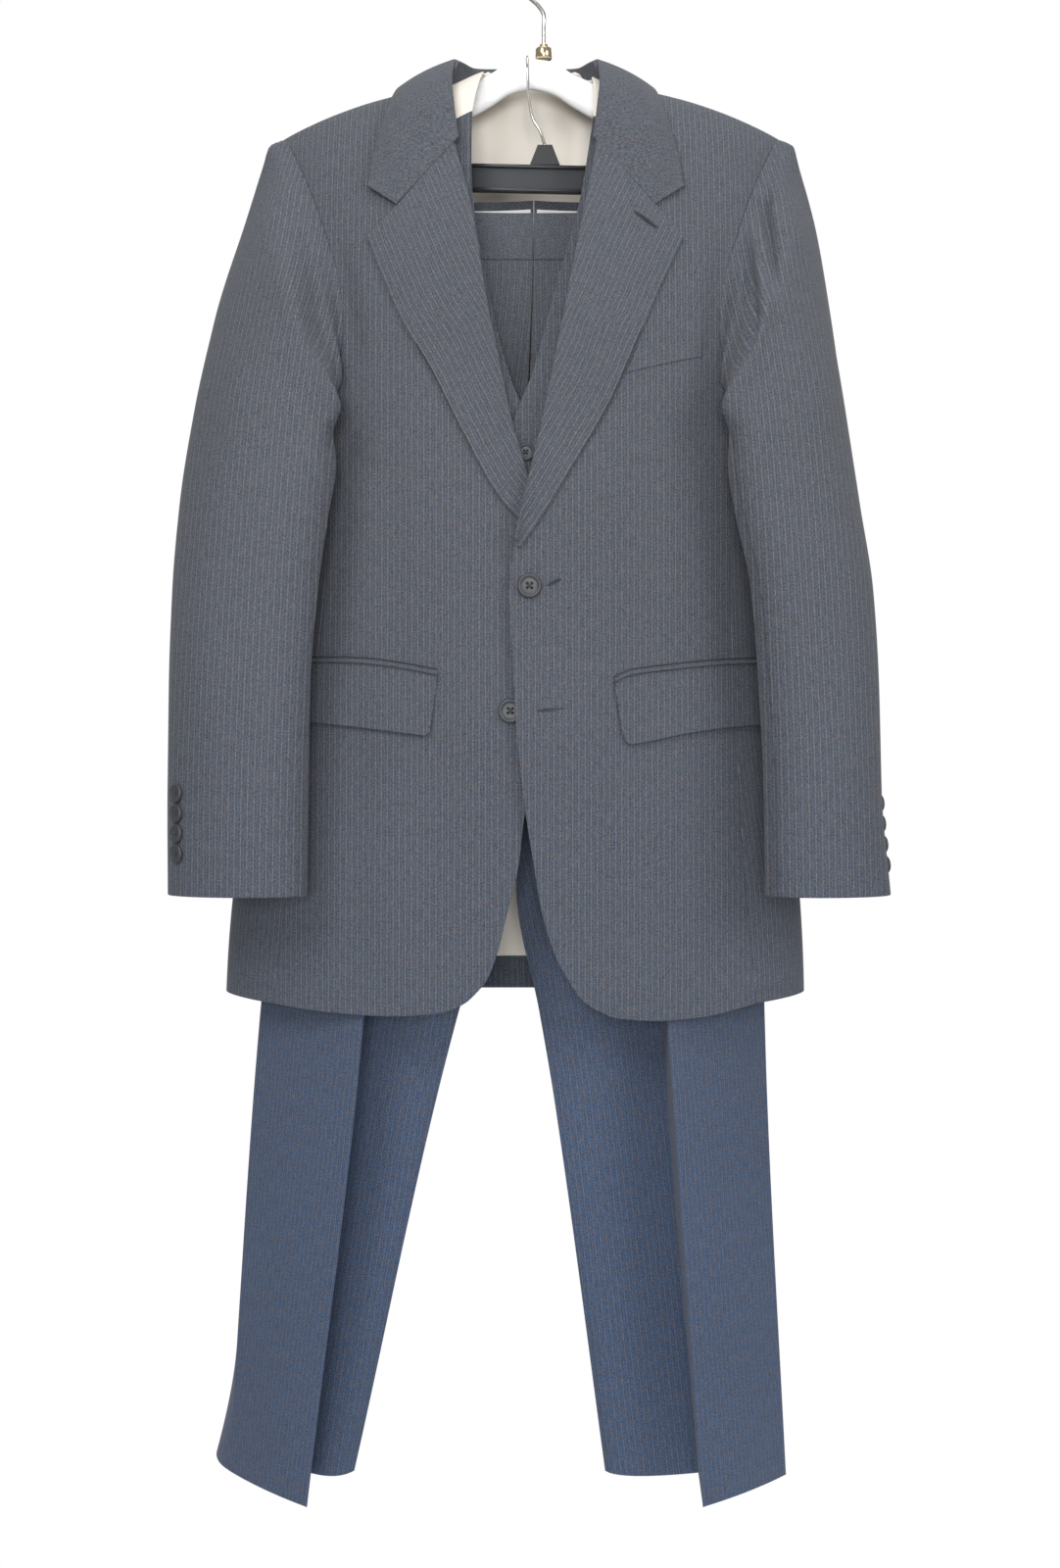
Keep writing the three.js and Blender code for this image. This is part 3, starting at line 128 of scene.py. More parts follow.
class Table:
    """Rows of named columns, read smoothly between rows by the first column.

    The curve through each column has the harmonic mean of the neighbouring slopes at each row,
    and none where they differ in sign, so it never swings past a row.
    """

    def __init__(self, columns: str, rows: Sequence[Sequence[float]]) -> None:
        """Keep the rows in rising order of their key.

        Args:
            columns: names of the columns, the key first.
            rows: one row of numbers for each section.
        """
        data = np.array(rows, float)
        data = data[np.argsort(data[:, 0])]
        self.names = columns.split()[1:]
        self.keys, self.values = data[:, 0], data[:, 1:]
        chords = np.diff(self.values, axis=0) / np.diff(self.keys)[:, None]
        before, after = chords[:-1], chords[1:]
        same = before * after > 0
        total = np.where(same, before + after, 1.0)
        inner = np.where(same, 2 * before * after / total, 0)
        self.slopes = np.vstack([chords[:1], inner, chords[-1:]])

    def __call__(self, key: Any) -> SimpleNamespace:
        """The columns at each key, as arrays of the key's own shape."""
        key = np.asarray(key, float)
        row = np.clip(np.searchsorted(self.keys, key, side="right") - 1, 0, len(self.keys) - 2)
        span = (self.keys[row + 1] - self.keys[row])[..., None]
        t = np.clip((key - self.keys[row])[..., None] / span, 0, 1)
        t2, t3 = t * t, t * t * t
        out = ((2 * t3 - 3 * t2 + 1) * self.values[row] + (t3 - 2 * t2 + t) * span
               * self.slopes[row]
               + (3 * t2 - 2 * t3) * self.values[row + 1] + (t3 - t2) * span * self.slopes[row + 1])
        return SimpleNamespace(**{name: out[..., k] for k, name in enumerate(self.names)})


class Ends(Enum):
    """How a line behaves at its two ends."""

    PLAIN = 0
    LED = 1
    CLOSED = 2


class Line:
    """A smooth curve through points, read by its share of the length.

    Each span is a cubic whose slopes come from the points on both sides; the spans of a LED or
    CLOSED line are timed by the square root of their lengths.
    """

    FINE = 48

    def __init__(self, points: Sequence[Sequence[float]], ends: Ends = Ends.PLAIN) -> None:
        """Sample the curve finely and measure it.

        Args:
            points: the points that it passes through, in two or three dimensions.
            ends: whether it stops, leads straight out of its ends, or closes.
        """
        knots = np.array(points, float)
        self.closed = ends is Ends.CLOSED
        if self.closed:
            knots = np.vstack([knots[-1:], knots, knots[:2]])
        elif ends is Ends.LED:
            knots = np.vstack([2 * knots[0] - knots[1], knots, 2 * knots[-1] - knots[-2]])
        else:
            knots = np.vstack([knots[:1], knots, knots[-1:]])
        p0, p1, p2, p3 = knots[:-3], knots[1:-2], knots[2:-1], knots[3:]
        times = [np.ones((len(p0), 1))] * 3
        if ends is not Ends.PLAIN:
            times = [np.linalg.norm(b - a, axis=1, keepdims=True) ** 0.5
                     for a, b in ((p0, p1), (p1, p2), (p2, p3))]
        a, b, c = times
        s1 = ((p1 - p0) / a - (p2 - p0) / (a + b) + (p2 - p1) / b) * b
        s2 = ((p2 - p1) / b - (p3 - p1) / (b + c) + (p3 - p2) / c) * b
        t = (np.arange(self.FINE) / self.FINE)[None, :, None]
        p1, p2, s1, s2 = (q[:, None, :] for q in (p1, p2, s1, s2))
        fine = (p1 + s1 * t + (3 * p2 - 3 * p1 - 2 * s1 - s2) * t**2
                + (2 * p1 - 2 * p2 + s1 + s2) * t**3)
        self.points = np.vstack([fine.reshape(-1, knots.shape[1]), p2[-1]])
        run = arcs(self.points)
        self.length = float(run[-1])
        self.share = run / self.length

    def __call__(self, t: Any) -> Array:
        """The points at shares t of the length."""
        t = np.mod(t, 1.0) if self.closed else np.clip(t, 0.0, 1.0)
        return spread(*(np.interp(t, self.share, column) for column in self.points.T))


def straight(a: Sequence[float], b: Sequence[float]) -> Curve:
    """The straight line from a to b."""
    return lambda t: mix(np.array(a, float), np.array(b, float), np.asarray(t, float)[..., None])


def patch(top: Curve, bottom: Curve, left: Curve, right: Curve) -> Surface:
    """The surface between four edges: the blend of top and bottom plus the blend of the two
    sides, less the blend of the four corners. Top and bottom run with u, the sides with v.

    Args:
        top: the upper edge.
        bottom: the lower edge.
        left: the edge at u = 0.
        right: the edge at u = 1.

    Returns:
        The surface.
    """
    corners = [edge(np.float64(t)) for edge in (top, bottom) for t in (0.0, 1.0)]

    def sheet(u: Array, v: Array) -> Array:
        """Points of the patch at shares u across and v down."""
        p, q = u[..., None], v[..., None]
        across = top(u) * (1 - q) + bottom(u) * q
        along = left(v) * (1 - p) + right(v) * p
        a, b, c, d = corners
        return across + along - (a * (1 - p) + b * p) * (1 - q) - (c * (1 - p) + d * p) * q

    return sheet


@dataclass(frozen=True)
class Fold:
    """A soft ridge or trough of the cloth, from one point of its drawing to another.

    Its section is a bell as wide as ``width``, and it fades out over its two ends.
    """

    start: tuple[float, float]
    end: tuple[float, float]
    width: float
    height: float
    stretch: float = 1.0

    def at(self, a: Array, b: Array) -> Array:
        """Its height at points (a, b) of the drawing; b counts ``stretch`` times."""
        start, end = np.array(self.start), np.array(self.end)
        along = (end - start) * np.array([1, self.stretch])
        length = float(np.hypot(*along))
        along = along / length
        da, db = a - start[0], (b - start[1]) * self.stretch
        t = (da * along[0] + db * along[1]) / length
        off = (da * along[1] - db * along[0]) / self.width
        fade = smooth(-0.12, 0.3, t) * smooth(1.12, 0.7, t)
        return self.height * fade * np.exp(-off * off)


def relief(folds: Sequence[Fold], a: Array, b: Array) -> Array:
    """The summed height of the folds at points (a, b)."""
    total = np.zeros(np.broadcast(a, b).shape)
    for fold in folds:
        total = total + fold.at(a, b)
    return total


# ---- sheets of cloth


def shares(length: float, cell: float, margin: float) -> Array:
    """Shares from 0 to 1 about a cell apart, with two closer lines just inside each end.

    Args:
        length: how long the way is.
        cell: the usual spacing.
        margin: how far in the closer lines lie.

    Returns:
        The shares.
    """
    lines = max(3, int(round(length / cell)))
    close = margin / max(length, 4 * margin)
    inner = np.linspace(2.2 * close, 1 - 2.2 * close, lines)
    return np.concatenate([[0, close], inner, [1 - close, 1]])


@dataclass
class Sheet:
    """A layer of cloth on a grid: its outer face's points, its grain and which way it faces."""

    points: Array
    side: float
    grain: Array | None = None
    u: Array | None = None
    v: Array | None = None

    @classmethod
    def over(cls, surface: Surface, side: float, cell: float = 4.0, margin: float = 1.6,
             keep: Sequence[float] = (), rows: Sequence[float] = ()) -> "Sheet":
        """Lay a grid over a surface (u, v).

        Args:
            surface: the points at shares u across and v down.
            side: +1 where u cross v points outwards, else -1.
            cell: the grid's usual spacing.
            margin: distance of the first line inside each edge.
            keep: shares across that need a line of their own, such as a crease.
            rows: shares down that need one.

        Returns:
            The sheet, with its grain still to be set.
        """
        even = np.linspace(0, 1, 25)
        rough = surface(*np.meshgrid(even, even))
        width, length = arcs(rough, 1)[:, -1].max(), arcs(rough)[-1].max()

        def lines(size: float, wanted: Sequence[float]) -> Array:
            """The grid's shares one way, with a line at each wanted share."""
            stops = [0.0, *wanted, 1.0]
            return np.unique(np.concatenate([mix(a, b, shares((b - a) * size, cell, margin))
                                             for a, b in zip(stops, stops[1:])]))

        u, v = np.meshgrid(lines(width, keep), lines(length, rows))
        return cls(surface(u, v), side, None, u, v)

    @property
    def normals(self) -> Array:
        """The outward normals: the cross product of the steps across and down."""
        step = np.gradient(self.points, axis=1)
        down = np.gradient(self.points, axis=0)
        return unit(np.cross(step, down)) * self.side

    def raised(self, height: Any) -> "Sheet":
        """The sheet moved out along its normals by a height, which may vary over the grid."""
        height = np.broadcast_to(height, self.points.shape[:2])[..., None]
        return Sheet(self.points + self.normals * height, self.side, self.grain, self.u, self.v)

    def turned_under(self, radius: float, turn: float, steps: int = 7) -> "Sheet":
        """The sheet with its first rows curled under: each is a step round a circle that
        starts along the sheet and bends towards its inner side.

        Args:
            radius: the circle's radius.
            turn: how far round it goes, in radians.
            steps: how many rows it adds.

        Returns:
            The longer sheet.
        """
        first, normal = self.points[0], self.normals[0]
        ahead = unit(self.points[1] - first)
        angle = np.linspace(turn, 0, steps, endpoint=False)[:, None, None]
        curl = first - ahead * radius * np.sin(angle) - normal * radius * (1 - np.cos(angle))
        return Sheet(np.vstack([curl, self.points]), self.side, None)

    def flipped(self) -> "Sheet":
        """The same sheet with its rows and columns exchanged."""
        grain = None if self.grain is None else np.swapaxes(self.grain, 0, 1)
        return Sheet(np.swapaxes(self.points, 0, 1), -self.side, grain)

    def cut_along(self, column: float) -> "Sheet":
        """Give the sheet its grain: across is the arc from one column, along is the arc down it.

        Args:
            column: which column the threads follow, as a share of the way across.

        Returns:
            The sheet with its grain.
        """
        index = int(round(column * (self.points.shape[1] - 1)))
        across = arcs(self.points, 1)
        across = across - across[:, index : index + 1]
        grain = spread(across, arcs(self.points[:, index])[:, None])
        return Sheet(self.points, self.side, grain, self.u, self.v)

    def measured(self) -> tuple[float, float, float]:
        """The cut's width, length and area in metres."""
        p = self.points
        step, drop = arcs(p, 1)[:, -1].max(), arcs(p)[-1].max()
        one = np.cross(p[:-1, 1:] - p[:-1, :-1], p[1:, 1:] - p[:-1, :-1])
        two = np.cross(p[1:, 1:] - p[:-1, :-1], p[1:, :-1] - p[:-1, :-1])
        area = (np.linalg.norm(one, axis=-1) + np.linalg.norm(two, axis=-1)).sum() / 2
        return step * MM, drop * MM, area * MM * MM

    def shell(self, thickness: float, rim: float) -> "Solid":
        """Close the sheet into a wall of cloth whose edges are rounded.

        The outer and inner faces stop a rim's radius short of the edge, and four rings of
        points carry the wall round from one to the other.

        Args:
            thickness: the wall's thickness.
            rim: the edge's radius.

        Returns:
            The wall as a closed solid.
        """
        rows, columns = self.points.shape[:2]
        count = rows * columns
        index = np.arange(count).reshape(rows, columns)
        loop = np.concatenate([index[0], index[1:, -1], index[-1, -2::-1], index[-2:0:-1, 0]])
        flat, normal = self.points.reshape(-1, 3), self.normals.reshape(-1, 3)
        near = index.copy()
        near[0], near[-1] = index[1], index[-2]
        near[:, 0], near[:, -1] = near[:, 1], near[:, -2]
        inward = unit(flat[near.ravel()[loop]] - flat[loop]) * rim
        edge, out = flat[loop], normal[loop]
        face, back = flat.copy(), flat - normal * thickness
        face[loop] += inward
        back[loop] += inward
        rings = [edge + inward * k - out * depth for k, depth in (
            (0.3, 0.3 * rim), (0, rim), (0, thickness - rim), (0.3, thickness - 0.3 * rim))]
        a, b, c, d = index[:-1, :-1], index[:-1, 1:], index[1:, 1:], index[1:, :-1]
        outer = spread(a, b, c, d).reshape(-1, 4)
        inner = outer[:, ::-1] + count
        hoops = [loop] + [2 * count + k * len(loop) + np.arange(len(loop)) for k in range(4)]
        hoops.append(loop + count)
        walls = [spread(np.roll(h, -1), h, g, np.roll(g, -1)) for h, g in zip(hoops, hoops[1:])]
        quads = np.vstack([outer, inner, *walls])
        grain = np.zeros((count, 2)) if self.grain is None else self.grain.reshape(-1, 2)
        grain = np.vstack([grain, grain, *[grain[loop]] * 4])
        quads = quads if self.side > 0 else quads[:, ::-1]
        return Solid(np.vstack([face, back, *rings]), quads, grain=grain)


@dataclass
class Solid:
    """Vertices, four-sided and three-sided faces, and the grain of each vertex."""

    vertices: Array
    quads: Array
    triangles: Array = field(default_factory=lambda: np.zeros((0, 3), int))
    grain: Array | None = None

    @classmethod
    def lofted(cls, rings: Array) -> "Solid":
        """A closed solid through rings (steps, points, 3), each end closed by a fan.

        A ring runs so that the step round it, crossed with the step to the next ring, points
        outwards.
        """
        steps, count = rings.shape[:2]
        index = np.arange(steps * count).reshape(steps, count)
        after = np.roll(index, -1, axis=1)
        quads = spread(index[:-1], after[:-1], after[1:], index[1:]).reshape(-1, 4)
        middles = np.stack([rings[0].mean(0), rings[-1].mean(0)])
        first = spread(steps * count, after[0], index[0])
        last = spread(steps * count + 1, index[-1], after[-1])
        return cls(np.vstack([rings.reshape(-1, 3), middles]), quads, np.vstack([first, last]))

    @classmethod
    def tube(cls, path: Array, radius: Any, sides: int, across: Sequence[float]) -> "Solid":
        """A round bar along a path: each ring is a circle square to the path.

        Args:
            path: the middle line's points.
            radius: one radius, or one for each point.
            sides: points in each ring.
            across: a direction that the path is never parallel to.
        """
        along = unit(np.gradient(path, axis=0))
        reference = np.array(across, float)
        one = unit(reference - along * (along @ reference)[:, None])
        two = np.cross(along, one)
        turn = circle(sides)[None, :, None]
        size = np.broadcast_to(np.asarray(radius, float), (len(path),))[:, None, None]
        rings = path[:, None] + size * (np.cos(turn) * one[:, None] + np.sin(turn) * two[:, None])
        return cls.lofted(rings)

    @classmethod
    def turned(cls, profile: Array, sides: int) -> "Solid":
        """A profile of (radius, z) rows turned round the z axis, from its foot upwards."""
        radius, z = profile[:, :1], profile[:, 1:]
        return cls.lofted(spread(radius * np.cos(circle(sides)), radius * np.sin(circle(sides)), z))

    @classmethod
    def prism(cls, outline: Array, length: float) -> "Solid":
        """An outline of (y, z) points carried along x from 0 to a length, capped by polygons
        that fan from its middle; the outline is star-shaped or is split by its caller."""
        ring = np.column_stack([np.zeros(len(outline)), outline])
        return cls.lofted(np.stack([ring, ring + [length, 0, 0]]))

    def joined(self, *others: "Solid") -> "Solid":
        """This solid and others as one mesh of separate bodies."""
        solids = [self, *others]
        starts = np.cumsum([0] + [len(s.vertices) for s in solids[:-1]])
        return Solid(np.vstack([s.vertices for s in solids]),
                     np.vstack([s.quads + k for s, k in zip(solids, starts)]),
                     np.vstack([s.triangles + k for s, k in zip(solids, starts)]))

    def moved(self, frame_: Array, point: Array) -> "Solid":
        """The solid with its own x, y and z laid along the rows of a frame, about a point."""
        return Solid(self.vertices @ frame_ + point, self.quads, self.triangles, self.grain)

    def mesh(self, name: str) -> bpy.types.Mesh:
        """Write the solid into a Blender mesh, in metres, with smooth faces and a grain map."""
        mesh = bpy.data.meshes.new(name)
        corners = np.concatenate([self.quads.ravel(), self.triangles.ravel()]).astype(np.int32)
        sizes = np.concatenate([np.full(len(self.quads), 4), np.full(len(self.triangles), 3)])
        mesh.vertices.add(len(self.vertices))
        mesh.vertices.foreach_set("co", (self.vertices * MM).astype(np.float32).ravel())
        mesh.loops.add(len(corners))
        mesh.loops.foreach_set("vertex_index", corners)
        mesh.polygons.add(len(sizes))
        starts = np.concatenate([[0], np.cumsum(sizes)[:-1]]).astype(np.int32)
        mesh.polygons.foreach_set("loop_start", starts)
        mesh.polygons.foreach_set("use_smooth", np.ones(len(sizes), bool))
        mesh.update(calc_edges=True)
        if self.grain is not None:
            layer = mesh.uv_layers.new(name="grain")
            layer.uv.foreach_set("vector", (self.grain[corners] * MM).astype(np.float32).ravel())
        mesh.validate()
        return mesh


# ---- finishes


class Value:
    """A number, vector or colour of a shader; each sum or product of it is one Math node."""

    def __init__(self, graph: "Graph", socket: bpy.types.NodeSocket) -> None:
        """Hold an output socket of a graph."""
        self.graph, self.socket = graph, socket

    def of(self, function: str) -> "Value":
        """A Math node's function of it, such as its sine."""
        return self.graph.maths(function, self)

    def __add__(self, other: Any) -> "Value":
        """It plus another."""
        return self.graph.maths("ADD", self, other)

    def __sub__(self, other: Any) -> "Value":
        """It less another."""
        return self.graph.maths("SUBTRACT", self, other)

    def __rsub__(self, other: Any) -> "Value":
        """Another less it."""
        return self.graph.maths("SUBTRACT", other, self)

    def __mul__(self, other: Any) -> "Value":
        """It times another."""
        return self.graph.maths("MULTIPLY", self, other)

    def __truediv__(self, other: Any) -> "Value":
        """It over another."""
        return self.graph.maths("DIVIDE", self, other)


class Graph:
    """A short way to place nodes and join them."""

    def __init__(self, tree: bpy.types.NodeTree) -> None:
        """Work on one node tree."""
        self.tree = tree

    def node(self, kind: str, inputs: dict[Any, Any] | None = None,
             **settings: Any) -> bpy.types.Node:
        """Place a node.

        Args:
            kind: its type, without the leading "ShaderNode" where it has one.
            inputs: a number, a Value or a socket for each input, by name or number.
            settings: its properties.

        Returns:
            The new node.
        """
        made = self.tree.nodes.new(kind if kind.startswith("Node") else "ShaderNode" + kind)
        for name, value in settings.items():
            setattr(made, name, value)
        for name, value in (inputs or {}).items():
            self.feed(made.inputs[name], value)
        return made

    def feed(self, socket: bpy.types.NodeSocket, value: Any) -> None:
        """Link a Value or a socket to an input, or set the input to a number.

        Args:
            socket: the input.
            value: what it takes.
        """
        value = value.socket if isinstance(value, Value) else value
        if isinstance(value, bpy.types.NodeSocket):
            self.tree.links.new(value, socket)
        else:
            socket.default_value = value

    def value(self, kind: str, output: Any, inputs: dict[Any, Any], **settings: Any) -> Value:
        """One output of a new node."""
        return Value(self, self.node(kind, inputs, **settings).outputs[output])

    def maths(self, operation: str, *values: Any, clamp: bool = False) -> Value:
        """The result of a Math node."""
        return self.value("Math", 0, dict(enumerate(values)), operation=operation, use_clamp=clamp)

    def step(self, value: Any, low: float, high: float) -> Value:
        """A soft step from 0 at low to 1 at high."""
        return self.value("MapRange", "Result", {"Value": value, "From Min": low, "From Max": high},
                          interpolation_type="SMOOTHSTEP")

    def blend(self, factor: Any, a: Any, b: Any) -> Value:
        """The blend of two colours."""
        return self.value("Mix", 2, {0: factor, 6: a, 7: b}, data_type="RGBA")

    def noise(self, vector: Any, scale: Any, detail: float = 2.0) -> Value:
        """Soft noise from 0 to 1, at one scale or at one for each direction.

        Args:
            vector: where it is read.
            scale: one scale or three.
            detail: how many octaves it has.

        Returns:
            The noise.
        """
        if isinstance(scale, tuple):
            vector = self.value("VectorMath", 0, {0: vector, 1: scale}, operation="MULTIPLY")
            scale = 1.0
        return self.value("TexNoise", 0, {"Vector": vector, "Scale": scale, "Detail": detail})

    def parts(self, vector: Any) -> list[Value]:
        """The x, y and z of a vector."""
        return [Value(self, part) for part in self.node("SeparateXYZ", {0: vector}).outputs]

    def toned(self, colour: Any, tone: Any) -> Value:
        """A colour made lighter or darker by a factor."""
        return self.value("VectorMath", 0, {0: colour, 3: tone}, operation="SCALE")

    def ribs(self, place: Value, pitch: float) -> Value:
        """A wave from -1 to 1 that repeats at every pitch."""
        return (place * (2 * math.pi / pitch)).of("SINE")


class Effect:
    """A shader node group with named inputs and outputs, built once."""

    name = ""
    inputs: dict[str, Any] = {}
    outputs = ("Color", "Roughness", "Height")

    @classmethod
    def group(cls) -> bpy.types.NodeTree:
        """The group's tree, made on first use."""
        known = bpy.data.node_groups.get(cls.name)
        if known:
            return known
        tree = bpy.data.node_groups.new(cls.name, "ShaderNodeTree")
        kinds = {float: "NodeSocketFloat", tuple: "NodeSocketColor", str: "NodeSocketVector"}
        for name, value in cls.inputs.items():
            socket = tree.interface.new_socket(name, in_out="INPUT", socket_type=kinds[type(value)])
            if not isinstance(value, str):
                socket.default_value = value
        for name in cls.outputs:
            kind = "NodeSocketColor" if name == "Color" else "NodeSocketFloat"
            tree.interface.new_socket(name, in_out="OUTPUT", socket_type=kind)
        graph = Graph(tree)
        source, result = graph.node("NodeGroupInput"), graph.node("NodeGroupOutput")
        given = {name: Value(graph, source.outputs[name]) for name in cls.inputs}
        for name, value in zip(cls.outputs, cls.draw(graph, given)):
            graph.feed(result.inputs[name], value)
        return tree

    @classmethod
    def draw(cls, graph: Graph, given: dict[str, Value]) -> tuple[Value, Value, Value]:
        """Place the effect's nodes and return its colour, roughness and height."""
        raise NotImplementedError


class Striping(Effect):
    """Worsted with a fine dotted pinstripe: a mottled ground of two yarns in a twill weave,
    slubs along the warp, a lighter broken line at every pitch and a faint one half way between."""

    name = "worsted striping"
    inputs = {"Grain": "vector", "Place": "vector", "Ground": (0.1, 0.1, 0.1, 1.0),
              "Low": (0.1, 0.1, 0.1, 1.0), "Line": (0.4, 0.4, 0.4, 1.0), "Pitch": 0.005,
              "Width": 0.0009, "Strength": 0.6, "Mottle": 0.3}
    warm = (0.098, 0.084, 0.088, 1.0)
    dot, twill, weft = 0.0019, 0.0013, 0.0009

    @classmethod
    def draw(cls, graph: Graph, given: dict[str, Value]) -> tuple[Value, Value, Value]:
        """The line is 1 within half a width of each pitch's middle, times breaks that differ
        from line to line and small dots. The ground is a blend by height, from the top colour to a
        darker, bluer one towards the hems, which is painted shade and a painted bluish light cast,
        warmed in patches, times a tone of flecks, slubs and broad shade. The height sums twill,
        weft, flecks and line.

        Args:
            graph: where the nodes go.
            given: the group's inputs.

        Returns:
            The colour, roughness and height.
        """
        across, along, _ = graph.parts(given["Grain"])
        cell = across / given["Pitch"]
        off = (cell.of("FRACT") - 0.5).of("ABSOLUTE")
        near, far = (part * given["Pitch"] / given["Width"] for part in (off, 0.5 - off))
        line = (1 - graph.step(far, 0.2, 0.7)) * 0.3 + (1 - graph.step(near, 0.25, 0.75))
        row = graph.value("CombineXYZ", 0, {0: cell.of("FLOOR"), 1: along * 330.0})
        broken = graph.step(graph.noise(row, 1.0), 0.3, 0.72) * 0.85 + 0.25
        line = line * broken * (graph.ribs(along, cls.dot) * 0.2 + 0.8) * given["Strength"]
        fleck = graph.noise(given["Grain"], (900.0, 760.0, 1.0), 3.0)
        slub = graph.noise(given["Grain"], (700.0, 90.0, 1.0))
        tone = graph.step(fleck, 0.35, 0.65) * 0.75 + graph.step(slub, 0.35, 0.65) * 0.25
        tone = tone + graph.noise(given["Place"], 7.0) * 0.2 - 0.1
        # Painted shade: the ground turns darker and bluer down the height, standing in for shade
        # and a bluish light cast towards the hems.
        level = graph.step(graph.parts(given["Place"])[2], -0.4, -1.1)
        ground = graph.blend(level, given["Ground"], given["Low"])
        tint = graph.step(graph.noise(given["Grain"], (190.0, 150.0, 1.0), 3.0), 0.4, 0.66)
        ground = graph.blend(tint * 0.4, ground, cls.warm)
        ground = graph.toned(ground, (tone - 0.5) * given["Mottle"] + 1.0)
        weave = graph.ribs(across + along, cls.twill) * 0.2 + graph.ribs(along, cls.weft) * 0.1
        return (graph.blend(line, ground, given["Line"]), fleck * 0.14 + 0.78,
                weave + fleck * 0.4 + line * 0.3)


class Threads(Effect):
    """Fine threads of a plain cloth: two sets of crossing ribs, slubs and a broad soft tone."""

    name = "plain threads"
    inputs = {"Grain": "vector", "Place": "vector", "Ground": (0.5, 0.5, 0.5, 1.0), "Mottle": 0.1}
    warp, weft = 0.0008, 0.0006

    @classmethod
    def draw(cls, graph: Graph, given: dict[str, Value]) -> tuple[Value, Value, Value]:
        """The tone sums slubs and a broad noise; the height sums both ribs and the slubs.

        Args:
            graph: where the nodes go.
            given: the group's inputs.

        Returns:
            The colour, roughness and height.
        """
        across, along, _ = graph.parts(given["Grain"])
        slub = graph.noise(given["Grain"], (40.0, 700.0, 1.0))
        tone = slub * 0.6 + graph.noise(given["Place"], 16.0, 3.0) * 1.4
        ribs = graph.ribs(across, cls.warp) * 0.25 + graph.ribs(along, cls.weft) * 0.25
        return (graph.toned(given["Ground"], (tone - 1.0) * given["Mottle"] + 1.0),
                slub * 0.16 + 0.3, ribs + slub * 0.6)


class Grime(Effect):
    """A moulded or drawn surface: faint flow marks, fine scratches and handled patches."""

    name = "handled surface"
    inputs = {"Place": "vector", "Ground": (0.5, 0.5, 0.5, 1.0), "Rough": 0.3, "Wear": 0.1}

    @classmethod
    def draw(cls, graph: Graph, given: dict[str, Value]) -> tuple[Value, Value, Value]:
        """The tone is a patchy noise; the roughness and the height add scratches along x.

        Args:
            graph: where the nodes go.
            given: the group's inputs.

        Returns:
            The colour, roughness and height.
        """
        patchy = graph.noise(given["Place"], 45.0, 4.0)
        fine = graph.noise(given["Place"], (300.0, 1400.0, 1400.0))
        rough = (fine - 0.5) * 0.12 + given["Rough"]
        rough = graph.maths("ADD", rough, patchy * 0.1 - 0.05, clamp=True)
        return graph.toned(given["Ground"], (patchy - 0.5) * given["Wear"] + 1.0), rough, fine


@dataclass(frozen=True)
class Finish:
    """A finish: one effect with its own values, under a Principled shader."""

    name: str
    slot: str
    effect: type[Effect]
    values: dict[str, Any]
    shader: dict[str, Any]
    bump: float = 0.0002

    def material(self) -> bpy.types.Material:
        """The finish's material, made on first use."""
        known = bpy.data.materials.get(self.name)
        if known:
            return known
        made = bpy.data.materials.new(self.name)
        made.use_nodes = True
        made.node_tree.nodes.clear()
        graph = Graph(made.node_tree)
        place = graph.node("TexCoord").outputs["Object"]
        given = dict(self.values, Place=place)
        if "Grain" in self.effect.inputs:
            given["Grain"] = graph.node("UVMap", uv_map="grain").outputs[0]
        group = graph.node("Group", node_tree=self.effect.group())
        for name, value in given.items():
            graph.feed(group.inputs[name], value)
        colour, rough, height = group.outputs
        bump = graph.value("Bump", 0, {"Height": height, "Distance": self.bump, "Strength": 0.6})
        shader = graph.value("BsdfPrincipled", 0, {
            **self.shader, "Base Color": colour, "Roughness": rough, "Normal": bump})
        graph.node("OutputMaterial", {"Surface": shader})
        return made


def worsted(name: str, slot: str, strength: float, high: Colour,
            low: Colour | None = None) -> Finish:
    """A worsted cloth of the suit in one shade.

    Args:
        name: the finish's name.
        slot: the record's slot that it stands for.
        strength: how much the stripe shows.
        high: the ground's colour near the shoulders.
        low: its colour near the hems, where that differs: darker and bluer, as painted shade and a
            painted bluish light cast.

    Returns:
        The finish.
    """
    line = tuple(mix(part, 0.5, 0.5) for part in high)
    values = {"Ground": (*high, 1.0), "Low": (*(low or high), 1.0), "Line": (*line, 1.0),
              "Pitch": 0.005, "Width": 0.0007, "Strength": strength, "Mottle": 0.9}
    shader = {"Sheen Weight": 0.1, "Sheen Roughness": 0.5, "Specular IOR Level": 0.2}
    return Finish(name, slot, Striping, values, shader, 0.00022)


def moulded(name: str, slot: str, ground: Colour, rough: float, **shader: Any) -> Finish:
    """A moulded or drawn finish of one colour."""
    values = {"Ground": (*ground, 1.0), "Rough": rough, "Wear": 0.12}
    return Finish(name, slot, Grime, values, shader, 0.00003)


